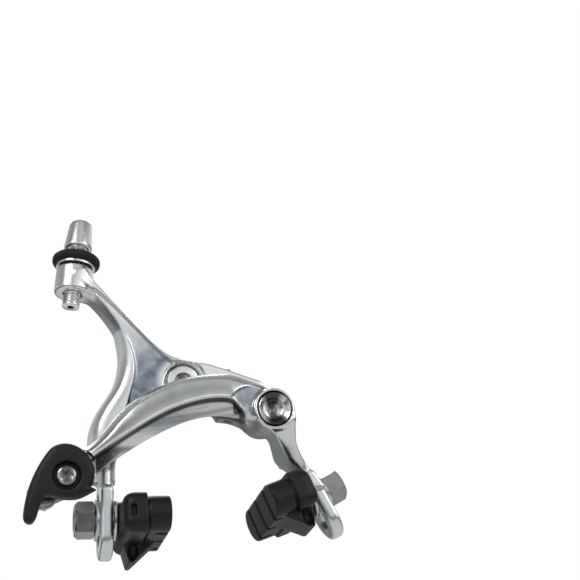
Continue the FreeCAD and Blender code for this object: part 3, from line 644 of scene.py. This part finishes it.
def lever_field(x, y, z):
    edge = outline_distance(outline(LEVER), x, z)
    crown = -32.9 + 0.5 * ramp(np.hypot(x - QR[0], z - QR[1]), 6.0, 15.0)
    body = common(edge, crown - y, 2.2)
    body = common(body, y + 27.25, 0.9)
    dish = np.hypot(x - QR[0], z - QR[1]) - 4.1
    body = without(body, np.maximum(dish - 0.5 * np.clip(-32.2 - y, 0, None), y + 30.2), 0.4)
    return np.maximum(body, 2.05 - np.hypot(x - QR[0], z - QR[1]))


BRIDGE = [[(-7.4, 3.6), (0.0, 8.2), (6.6, 5.0)], [(29.6, -9.8)], [(31.6, -15.4),
          (28.2, -21.0)], [(23.3, -19.4), (20.8, -17.9), (18.6, -15.4), (15.0, -13.4),
          (11.2, -12.3)], [(10.2, -10.2), (7.6, -8.7)], [(2.0, -8.4), (-5.4, -6.4), (-8.2, 0.0),
          (-7.4, 3.6)]]


def bridge_field(x, y, z):
    edge = outline_distance(outline(BRIDGE), x, z)
    plate = common(common(edge, -6.45 - y, 1.2), y + 1.5, 1.2)
    plate = merge(plate, disc_y(x, y, z, PIVOT, 5.8, -13.6, -5.0, 0.8), 1.2)
    slot = np.maximum(np.maximum(np.abs(x - 14.7) - 1.3, np.abs(y + 4.5) - 1.3), z + 11.8)
    plate = without(plate, slot, 0.4)
    plate = np.maximum(plate, 3.55 - np.hypot(x, z))
    return np.maximum(plate, 3.0 - np.hypot(x - PIVOT[0], z - PIVOT[1]))


def carrier_field(x, y, z):
    edge = outline([[(-53.6, -25.8), (-53.6, -29.6)], [(-49.0, -31.8)], [(-44.4, -30.6)], [(-38.8, -29.6)],
                    [(-38.8, -23.0)], [(-46.0, -22.4)], [(-53.6, -25.8)]])
    plate = common(outline_distance(edge, x, z), np.abs(y + 22.0) - 1.4, 1.0)
    slot = np.hypot(np.clip(np.abs(x - QR[0] + 0.9) - 0.9, 0, None), z - QR[1] + CAM_OFFSET) - 1.85
    plate = without(plate, slot + 0 * y, 0.3)
    groove = np.hypot((x + 46.1) * 0.966 - (z + 28.0) * 0.257, y + 20.6) - 0.8
    plate = without(plate, groove, 0.3)
    bolt = np.hypot(x - CLAMP[0], z - CLAMP[1])
    plate = np.maximum(plate, 2.05 - bolt)
    return np.maximum(plate, -np.maximum(bolt - 3.45, y + 22.2))


def forge_rest():
    """The lever, the bridge and the cable's clamp."""
    lever = forge("lever_moulding", lever_field, (-57.2, -34.0, -37.4), (-33.0, -26.6, -14.2),
                  NET_STEP, "qr_lever", 3)
    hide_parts("qr_lever")
    bridge = forge("bridge_forging", bridge_field, (-9.4, -14.6, -22.6), (33.0, -0.6, 9.6),
                   NET_STEP, "bridge", 3)
    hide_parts("bridge_plate")
    carrier = forge("cable_anchor_plate", carrier_field, (-54.6, -24.2, -33.4), (-37.8, -19.8, -21.4), 0.25,
                    "cable_carrier", 2)
    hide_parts("cable_carrier")
    return lever, bridge, carrier


# ---------------------------------------------------------------- turned pieces

def turned_pieces():
    """Bolts, nuts, washers and the adjuster."""
    made = {}
    front = (0, 1, 0)
    pivot, lever = (PIVOT[0], 0, PIVOT[1]), (QR[0], 0, QR[1])
    key, small_key = hexagon(5.0), hexagon(3.0)
    made["centre_bolt"] = turned("fork_bolt_turned", [
        (0, -15.2), (key, -15.9), (key, -18.1), (2.95, -18.5), (4.55, -18.5), (4.95, -18.38),
        (5.15, -18.05), (5.15, -14.5), (4.95, -14.3), (3.5, -14.3), (3.5, -0.4), (3.45, 0.0), (3.0, 0.05)]
        + thread(3.0, 0.3, 1.0, 0.1, 17.0) + [(2.5, 18.0), (0, 18.0)], (0, 0, 0), front, "bridge", 96)
    made["side_pivot_bolt"] = turned("side_pivot_turned", [
        (0, -24.3), (key, -24.7), (key, -27.0), (2.95, -27.25), (3.25, -27.3), (3.4, -27.12),
        (4.7, -28.3), (4.95, -28.45), (5.15, -28.3), (5.2, -28.0), (5.2, -25.6), (4.0, -25.6),
        (4.0, -13.6), (3.0, -13.6), (3.0, -2.8), (2.8, -2.6), (0, -2.6)], pivot, front, "bridge", 96)
    made["qr_screw"] = turned("lever_screw_turned", [
        (0, -29.9), (small_key, -30.2), (small_key, -32.1), (1.85, -32.35), (2.3, -32.4), (2.75, -32.15),
        (2.9, -31.8), (2.9, -30.2), (2.0, -30.2), (2.0, -24.8), (0, -24.8)], lever, front, "qr_lever", 96)
    made["qr_hub"] = turned("lever_hub_turned", [
        (2.0, -27.2), (3.9, -27.2), (4.0, -27.1), (4.0, -24.4), (5.0, -24.4), (5.0, -23.6), (4.9, -23.5),
        (0, -23.5), (0, -24.6), (2.0, -24.6)], lever, front, "qr_lever", 96, closed=True)
    made["cam_pin"] = turned("lever_cam_pin", [
        (0, -23.6), (1.4, -23.6), (1.4, -20.9), (1.2, -20.7), (0, -20.7)],
        (QR[0], 0, QR[1] - CAM_OFFSET), front, "qr_lever", 48)
    clamp = (CLAMP[0], 0, CLAMP[1])
    made["cable_clamp_bolt"] = turned("anchor_bolt_turned", [
        (0, -23.4), (3.1, -23.4), (3.4, -23.1), (3.4, -22.2), (2.0, -22.2)]
        + thread(2.0, 0.24, 0.7, -20.4, -14.8) + [(1.6, -14.6), (0, -14.6)],
        clamp, front, "cable_carrier", 72)
    made["cable_clamp_washer"] = turned("anchor_washer_turned", [
        (2.05, -20.6), (4.0, -20.6), (4.1, -20.4), (4.1, -19.5), (3.9, -19.2), (2.05, -19.2)],
        clamp, front, "cable_carrier", 96, closed=True)
    made["cable_clamp_nut"] = nut_piece("anchor_hex_nut", 7.0, 2.0, -19.2, -15.4,
                                        clamp, front, "cable_carrier", 0.5)

    up = ADJ_AXIS
    made["adjuster_barrel"] = turned("barrel_turned", [
        (1.1, 0.5), (2.0, 0.5)] + thread(2.8, 0.5, 1.0, 0.7, 19.2) + [
        (2.5, 19.6), (2.45, 20.2), (2.8, 20.7), (3.9, 21.0), (4.4, 21.5), (4.55, 21.9), (4.55, 22.3),
        (4.42, 22.5), (4.28, 22.55), (4.28, 22.7), (4.42, 22.8), (4.38, 23.2), (3.86, 29.9),
        (3.65, 30.6), (3.3, 31.0), (2.75, 31.0), (2.6, 30.85), (2.6, 24.0), (1.1, 24.0)],
        ADJ_BASE, up, "adjuster_barrel", 120, closed=True)
    ribs = 72

    def ribbed(radius):
        return lambda a: radius + 0.07 * np.cos(ribs * a)
    made["adjuster_grip"] = turned("grip_ring_ribbed", [
        (4.85, 15.3), (6.5, 15.25), (7.0, 15.4), (ribbed(7.42), 15.8), (ribbed(7.6), 16.4),
        (ribbed(7.6), 17.1), (ribbed(7.42), 17.7), (7.0, 18.1), (6.5, 18.25), (5.6, 18.2), (4.85, 18.1)],
        ADJ_BASE, up, "adjuster_nut", 6 * ribs, closed=True)
    made["adjuster_nut"] = turned("grip_core_turned", [
        (2.95, 15.2), (4.8, 15.2), (4.8, 18.5), (4.65, 18.8), (4.25, 19.2), (3.9, 19.3), (2.95, 19.3)],
        ADJ_BASE, up, "adjuster_nut", 96, closed=True)
    made["adjuster_washer"] = turned("barrel_washer_turned", [
        (3.2, 14.35), (6.1, 14.35), (6.3, 14.5), (6.3, 14.95), (6.1, 15.12), (3.2, 15.12)],
        ADJ_BASE, up, "y_arm", 96, closed=True)
    made["adjuster_seal"] = turned("barrel_seal_turned", [
        (3.2, 13.8), (5.2, 13.8), (5.4, 13.9), (5.4, 14.25), (5.2, 14.35), (3.2, 14.35)],
        ADJ_BASE, up, "y_arm", 96, closed=True)
    for node, piece in made.items():
        if node != "cam_pin":
            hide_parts(node)
    return made


# ---------------------------------------------------------------- finishes

class Finish:
    """A material under construction: a principled shader and short names for the nodes that feed it."""

    def __init__(self, name, colour, metal, rough):
        self.material = bpy.data.materials.new(name)
        self.material.use_nodes = True
        self.tree = self.material.node_tree
        self.shader = self.tree.nodes["Principled BSDF"]
        self.place = self.tree.nodes.new("ShaderNodeTexCoord").outputs["Object"]
        self.put("Base Color", (*colour, 1))
        self.put("Metallic", metal)
        self.put("Roughness", rough)

    def put(self, socket, value):
        target = self.shader.inputs[socket] if isinstance(socket, str) else socket
        if isinstance(value, bpy.types.NodeSocket):
            self.tree.links.new(value, target)
        else:
            target.default_value = value

    def node(self, kind, out, inputs, **settings):
        node = self.tree.nodes.new(kind)
        for key, value in settings.items():
            setattr(node, key, value)
        for key, value in inputs.items():
            self.put(node.inputs[key], value)
        return node.outputs[out]

    def moved(self, shift=(0, 0, 0), turn=(0, 0, 0), stretch=(1, 1, 1)):
        return self.node("ShaderNodeMapping", 0, {0: self.place, 1: shift, 2: turn, 3: stretch})

    def noise(self, per_mm, detail=3.0, stretch=(1, 1, 1), turn=(0, 0, 0), warp=0.0):
        place = self.moved(turn=turn, stretch=stretch)
        return self.node("ShaderNodeTexNoise", "Fac", {
            "Vector": place, "Scale": per_mm / MM, "Detail": detail, "Distortion": warp})

    def cells(self, per_mm):
        return self.node("ShaderNodeTexVoronoi", "Distance", {"Vector": self.place, "Scale": per_mm / MM})

    def marked(self, name):
        return self.node("ShaderNodeAttribute", "Fac", {}, attribute_name=name)

    def steps(self, value, stops, ease="LINEAR"):
        """A colour ramp. Each stop is a place and a grey or a colour."""
        node = self.tree.nodes.new("ShaderNodeValToRGB")
        node.color_ramp.interpolation = ease
        elements = node.color_ramp.elements
        for n, (at, shade) in enumerate(stops):
            element = elements[n] if n < 2 else elements.new(at)
            element.position = at
            element.color = (*shade, 1) if isinstance(shade, tuple) else (shade, shade, shade, 1)
        self.put(node.inputs[0], value)
        return node.outputs[0]

    def calc(self, operation, a, b, clamp=False):
        return self.node("ShaderNodeMath", 0, {0: a, 1: b}, operation=operation, use_clamp=clamp)

    def blend(self, factor, a, b, how="MIX"):
        node = self.tree.nodes.new("ShaderNodeMix")
        node.data_type = "RGBA"
        node.blend_type = how
        for socket, value in ((0, factor), (6, a), (7, b)):
            if isinstance(value, (int, float)) and socket:
                value = (value, value, value, 1)
            elif isinstance(value, tuple) and len(value) == 3:
                value = (*value, 1)
            self.put(node.inputs[socket], value)
        return node.outputs[2]

    def bump(self, height, depth_mm, strength=1.0, over=None):
        inputs = {"Height": height, "Distance": depth_mm * MM, "Strength": strength}
        if over is not None:
            inputs["Normal"] = over
        out = self.node("ShaderNodeBump", "Normal", inputs)
        self.put("Normal", out)
        return out


def scratches(finish, seed=0.0):
    """Fine straight marks in three directions, 1 on a mark."""
    marks = None
    for turn in (0.4 + seed, 1.5 + seed, 2.5 + seed):
        lines = finish.noise(0.9, 2.0, (1.0, 1.0, 26.0), (0.2, turn, 0.1))
        lines = finish.steps(lines, [(0.66, 0.0), (0.72, 1.0)])
        marks = lines if marks is None else finish.calc("MAXIMUM", marks, lines)
    return marks


def arm_finish():
    f = Finish("arm_alloy_burnished", (0.9, 0.9, 0.9), 1.0, 0.12)
    floor, dull, under, shade = (f.marked(name) for name in ("floor", "dull", "under", "shade"))
    broad = f.noise(0.055, 3.0, warp=0.6)
    smudge = f.noise(0.32, 6.0, warp=0.4)
    marks = scratches(f)
    polished = f.steps(broad, [(0.35, (0.74, 0.75, 0.745)), (0.65, (0.86, 0.865, 0.865))])
    mottled = f.steps(smudge, [
        (0.32, (0.15, 0.18, 0.22)), (0.5, (0.24, 0.28, 0.33)), (0.7, (0.40, 0.44, 0.48))])
    # Painted light: the mottled floor is blended towards near-white higher up the arm, by height with some
    # noise.
    painted_web_light = f.steps(f.calc("ADD", f.calc("MULTIPLY", f.node("ShaderNodeSeparateXYZ", 2, {0: f.place}), 22.0),
                          f.calc("MULTIPLY", f.noise(0.1, 4.0, warp=0.5), 0.35)), [(0.30, 0.0), (0.74, 1.0)])
    mottled = f.blend(painted_web_light, mottled, f.blend(0.88, mottled, (0.96, 0.97, 0.98)))
    satin = f.steps(f.noise(1.6, 4.0), [(0.35, (0.58, 0.60, 0.59)), (0.65, (0.70, 0.72, 0.71))])
    colour = f.blend(dull, f.blend(floor, polished, mottled), satin)
    # Painted shade: the colour is multiplied down where the 'shade' mark is set, on the front arm above its
    # crease and in its scoop.
    colour = f.blend(1.0, colour, f.steps(shade, [(0.0, 1.0), (1.0, 0.0)]), "MULTIPLY")
    # Painted reflection under the front arm's crease: streaked grey bands ('grain' here) stand in for the
    # bands the lower bevel reflects, and a dark line painted just under the crease, darkest 0.25 to 1 mm
    # below it, stands in for the dark reflection there.
    bevel_reflection_bands = f.noise(0.5, 3.0, (0.05, 0.05, 1.0), (0, 0.28, 0), 0.3)
    grain = f.steps(bevel_reflection_bands, [
        (0.36, (0.36, 0.39, 0.42)), (0.5, (0.62, 0.625, 0.60)), (0.64, (0.92, 0.92, 0.89))])
    crease_dark_line = f.steps(f.calc("MULTIPLY", under, 0.2), [
        (0.0, 1.0), (0.05, 0.10), (0.2, 0.07), (0.32, 0.9), (1.0, 1.0)])
    below = f.steps(f.calc("MULTIPLY", under, 2.0, True), [(0.0, 0.0), (0.5, 1.0)])
    colour = f.blend(below, colour, f.blend(1.0, grain, crease_dark_line, "MULTIPLY"))
    f.put("Base Color", f.blend(f.calc("MULTIPLY", marks, 0.12), colour, (0.97, 0.97, 0.97)))
    rough = f.steps(smudge, [(0.3, 0.20), (0.7, 0.30)])
    rough = f.blend(dull, f.blend(floor, rough, 0.26), 0.42)
    f.put("Roughness", f.blend(marks, rough, 0.38))
    wave = f.bump(f.noise(0.12, 2.0), 0.05)
    fine = f.calc("ADD", f.calc("MULTIPLY", f.noise(4.0, 4.0), 0.35), f.calc("MULTIPLY", marks, 0.25))
    f.bump(fine, 0.003, 1.0, wave)
    return f.material


def metal_finish(name, dark, light, rough, grain_mm=1.2, stretch=(1, 1, 1), pit=0.01,
                 centre=None, rings=0.0, socket=0.0, sheen=1.0):
    """A worn metal. Turned metal, which has a centre, gets fine rings, painted highlight and shade in wedges
    round it, and painted shade in its socket.
    """
    f = Finish(name, light, 1.0, rough)
    grain = f.noise(grain_mm, 4.0, stretch)
    broad = f.noise(0.2, 3.0, warp=0.5)
    tone = f.calc("ADD", f.calc("MULTIPLY", grain, 0.5), f.calc("MULTIPLY", broad, 0.5))
    colour = f.steps(tone, [(0.36, dark), (0.62, light)])
    marks = scratches(f, 0.7)
    colour = f.blend(f.calc("MULTIPLY", marks, 0.2), colour, light)
    if centre is not None:
        place = f.moved(shift=tuple(-c * MM for c in centre))
        across, height = (f.node("ShaderNodeSeparateXYZ", n, {0: place}) for n in (0, 2))
        # Painted highlight and shade: the colour is kept full in two opposite wedges round the centre and
        # darkened by 'sheen' in the two between, standing in for the reflection of turned metal.
        turn = f.calc("MULTIPLY", f.calc("ARCTAN2", height, across), 2.0)
        painted_wedge = f.calc("ADD", f.calc("MULTIPLY", f.calc("COSINE", turn, 0.0), 0.5), 0.5)
        colour = f.blend(1.0, colour, f.steps(painted_wedge, [(0.2, 1.0 - sheen), (0.75, 1.0)]), "MULTIPLY")
        # Painted shade in the socket: inside the socket radius the colour is blended three quarters of the
        # way to near-black.
        away = f.calc("SQRT", f.calc("ADD", f.calc("POWER", f.calc("ABSOLUTE", across, 0.0), 2.0),
                                     f.calc("POWER", f.calc("ABSOLUTE", height, 0.0), 2.0)), 0.0)
        inside = f.steps(f.calc("DIVIDE", away, socket * MM), [(0.9, 1.0), (1.0, 0.0)])
        colour = f.blend(f.calc("MULTIPLY", inside, 0.75), colour, (0.10, 0.10, 0.10))
    f.put("Base Color", colour)
    f.put("Roughness", f.steps(tone, [(0.3, rough * 0.8), (0.7, rough * 1.35)]))
    height = f.calc("ADD", grain, f.calc("MULTIPLY", marks, 0.4))
    first = f.bump(height, pit)
    if centre is not None:
        lines = f.node("ShaderNodeTexWave", "Fac", {
            "Vector": place, "Scale": rings / MM, "Distortion": 0.4, "Detail": 2.0},
            wave_type="RINGS", rings_direction="Y")
        f.bump(lines, 0.012, 1.0, first)
    return f.material


def moulded_finish(name, dark, light, rough, grain_mm=2.2, depth=0.03):
    """Matte plastic or rubber with a fine moulded grain, scuffed a little lighter in places."""
    f = Finish(name, light, 0.0, rough)
    fine = f.noise(grain_mm, 5.0)
    broad = f.noise(0.12, 4.0, warp=0.8)
    scuff = f.steps(f.noise(0.5, 6.0, (1, 1, 3), warp=0.6), [(0.62, 0.0), (0.75, 1.0)])
    tone = f.calc("ADD", f.calc("MULTIPLY", fine, 0.4), f.calc("MULTIPLY", broad, 0.6))
    colour = f.steps(tone, [(0.36, dark), (0.64, light)])
    paler = tuple(1.7 * c for c in light)
    f.put("Base Color", f.blend(f.calc("MULTIPLY", scuff, 0.35), colour, paler))
    f.put("Roughness", f.steps(tone, [(0.3, rough * 0.85), (0.7, min(rough * 1.15, 1.0))]))
    f.put("Specular IOR Level", 0.38)
    f.bump(f.calc("ADD", fine, f.calc("MULTIPLY", f.cells(grain_mm * 1.4), 0.5)), depth)
    return f.material


def dress(pieces, material):
    for piece in pieces:
        piece.data.materials.clear()
        piece.data.materials.append(material)


def redress(nodes, material):
    """Gives CAD nodes that are kept a better material."""
    for name in nodes:
        node = frame["nodes"][name]
        if not node.material_slots:
            node.data.materials.append(material)
        for held in node.material_slots:
            held.material = material


# ---------------------------------------------------------------- studio

def studio():
    """A white room with a few soft grey gaps, drawn by direction, over a pale floor."""
    world = bpy.data.worlds.new("studio")
    world.use_nodes = True
    tree = world.node_tree
    link = tree.links.new
    direction = tree.nodes.new("ShaderNodeTexCoord").outputs["Generated"]

    def maths(operation, a, b=0.0):
        node = tree.nodes.new("ShaderNodeMath")
        node.operation = operation
        for socket, value in enumerate((a, b)):
            if isinstance(value, bpy.types.NodeSocket):
                link(value, node.inputs[socket])
            else:
                node.inputs[socket].default_value = value
        return node.outputs[0]

    def shades(value, stops):
        node = tree.nodes.new("ShaderNodeValToRGB")
        node.color_ramp.interpolation = "EASE"
        elements = node.color_ramp.elements
        for n, (at, shade) in enumerate(stops):
            element = elements[n] if n < 2 else elements.new(at)
            element.position = at
            element.color = (*shade, 1)
        link(value, node.inputs[0])
        return node.outputs[0]

    def times(a, b):
        node = tree.nodes.new("ShaderNodeMix")
        node.data_type = "RGBA"
        node.blend_type = "MULTIPLY"
        node.inputs[0].default_value = 1.0
        link(a, node.inputs[6])
        link(b, node.inputs[7])
        return node.outputs[2]

    split = tree.nodes.new("ShaderNodeSeparateXYZ")
    link(direction, split.inputs[0])
    x, y, z = split.outputs
    turn = maths("ARCTAN2", x, maths("MULTIPLY", y, -1.0))
    around = maths("ADD", maths("DIVIDE", turn, 2 * math.pi), 0.5)
    gaps = shades(around, AROUND)
    rise = shades(maths("ADD", maths("MULTIPLY", z, 0.5), 0.5), RISE)
    colour = times(gaps, rise)
    backdrop = tree.nodes.new("ShaderNodeMix")
    backdrop.data_type = "RGBA"
    link(tree.nodes.new("ShaderNodeLightPath").outputs["Is Camera Ray"], backdrop.inputs[0])
    link(colour, backdrop.inputs[6])
    backdrop.inputs[7].default_value = (*WHITE, 1)
    link(backdrop.outputs[2], tree.nodes["Background"].inputs[0])
    bpy.context.scene.world = world

    bpy.ops.mesh.primitive_grid_add(x_subdivisions=2, y_subdivisions=2, size=FLOOR_SIZE,
                                    location=(0, 0, -FLOOR_DROP))
    floor = bpy.context.object
    floor.name = "studio_floor"
    f = Finish("pale_floor", (0.8, 0.8, 0.8), 0.0, 0.7)
    f.put("Base Color", f.steps(f.noise(0.004, 4.0), [(0.3, 0.76), (0.7, 0.82)]))
    f.bump(f.noise(0.2, 3.0), 0.2)
    floor.data.materials.append(f.material)

    for name, place, size, power, tint in LAMPS:
        lamp = bpy.data.lights.new(name, "AREA")
        lamp.shape = "DISK"
        lamp.size = size
        lamp.energy = power
        lamp.color = tint
        holder = bpy.data.objects.new(name, lamp)
        holder.location = place
        aim = Vector(LAMP_TARGET) - Vector(place)
        holder.rotation_euler = aim.to_track_quat("-Z", "Y").to_euler()
        bpy.context.collection.objects.link(holder)


FLOOR_SIZE = 1.1
WHITE = (1.0, 1.0, 1.0)


def grey(value):
    return (value * 0.985, value, value * 1.01)


AROUND = [(0.0, grey(0.9)), (0.05, grey(0.72)), (0.16, grey(0.62)), (0.26, grey(0.46)), (0.33, grey(0.46)),
          (0.38, grey(0.85)), (0.43, WHITE), (0.47, grey(0.95)), (0.495, grey(0.45)), (0.52, grey(0.95)),
          (0.58, WHITE), (0.62, grey(0.85)), (0.67, grey(0.4)), (0.74, grey(0.5)), (0.84, grey(0.72)),
          (1.0, grey(0.9))]
RISE = [(0.0, grey(0.4)), (0.28, grey(0.35)), (0.31, grey(0.12)), (0.42, grey(0.14)), (0.56, grey(0.86)),
        (0.6, WHITE), (0.66, WHITE), (0.75, grey(0.64)), (0.9, grey(0.52)), (1.0, grey(0.48))]
LAMP_TARGET = (0, -0.015, -0.01)
LAMPS = [("key", (-0.5, -0.6, 0.75), 0.5, 3.0, (1.0, 1.0, 1.0)),
         ("fill", (0.7, -0.5, 0.2), 0.6, 1.2, (0.97, 0.98, 1.0)),
         ("rear", (0.1, 0.8, 0.6), 0.5, 2.5, (1.0, 1.0, 1.0))]


# ---------------------------------------------------------------- the caliper

# node, centre, radius in mm of the painted shade in the socket, depth of the painted shade wedges,
# brightness
TURNED_STEEL = [("centre_bolt", (0, 0, 0), 2.5, 0.12, 0.92),
                ("side_pivot_bolt", (PIVOT[0], 0, PIVOT[1]), 1.8, 0.9, 0.9),
                ("qr_screw", (QR[0], 0, QR[1]), 1.4, 0.5, 0.55)]


def build():
    arms = forge_arms()
    lever, bridge, carrier = forge_rest()
    turned_set = turned_pieces()
    left = clamp_set("left", LEFT_LEG, LEFT_PAD)
    right = clamp_set("right", RIGHT_LEG, RIGHT_PAD)

    alloy = arm_finish()
    dress(arms, alloy)
    for node, centre, socket, sheen, light in TURNED_STEEL:
        steel = metal_finish("turned_steel_" + node, (light * 0.85,) * 3, (light,) * 3, 0.2, centre=centre,
                             rings=0.9, socket=socket, sheen=sheen)
        dress([turned_set[node]], steel)
    nut_steel = metal_finish("grey_steel_worn", (0.33, 0.325, 0.31), (0.40, 0.395, 0.385), 0.2, 0.5,
                             pit=0.004)
    dress(left["steel"] + right["steel"]
          + [turned_set["cable_clamp_bolt"], turned_set["cable_clamp_nut"]], nut_steel)
    zinc = metal_finish("zinc_plate_worn", (0.52, 0.56, 0.60), (0.76, 0.80, 0.84), 0.24)
    dress(left["zinc"] + right["zinc"] + [turned_set["cable_clamp_washer"]], zinc)
    satin = metal_finish("satin_alloy_turned", (0.80, 0.81, 0.81), (0.88, 0.88, 0.87), 0.2, 0.8)
    satin_nodes = ("adjuster_barrel", "adjuster_nut", "adjuster_washer", "qr_hub", "cam_pin")
    dress([turned_set[node] for node in satin_nodes], satin)
    anchor = metal_finish("anchor_alloy_tumbled", (0.30, 0.32, 0.31), (0.44, 0.455, 0.44), 0.5, 1.6,
                          pit=0.03)
    dress([bridge, carrier], anchor)
    plastic = moulded_finish("lever_nylon", (0.006, 0.0065, 0.007), (0.011, 0.0115, 0.0125), 0.46)
    dress([lever], plastic)
    grip = moulded_finish("grip_rubber_ribbed", (0.006, 0.006, 0.0065), (0.012, 0.012, 0.0125), 0.6, 3.0)
    dress([turned_set["adjuster_grip"], turned_set["adjuster_seal"]], grip)
    compound = moulded_finish("pad_compound", (0.003, 0.0032, 0.0033), (0.006, 0.0064, 0.0066),
                              0.44, 1.6, 0.04)
    dress(left["rubber"] + right["rubber"], compound)

    redress(["star_washer", "centre_thrust_washer", "side_thrust_washer"], zinc)
    redress(["centring_screw"], nut_steel)
    wire = metal_finish("spring_wire_drawn", (0.30, 0.30, 0.31), (0.50, 0.50, 0.51), 0.3, 2.0)
    redress(["return_spring"], wire)
    redress(["spring_saddle", "contact_pad", "left_spring_cap", "right_spring_cap"], plastic)
    redress(["centre_bush", "side_bush"],
            metal_finish("bush_bronze", (0.42, 0.29, 0.14), (0.62, 0.46, 0.26), 0.4, 3.0, pit=0.02))


build()
studio()
make_camera()
bpy.context.scene.view_settings.view_transform = "Standard"
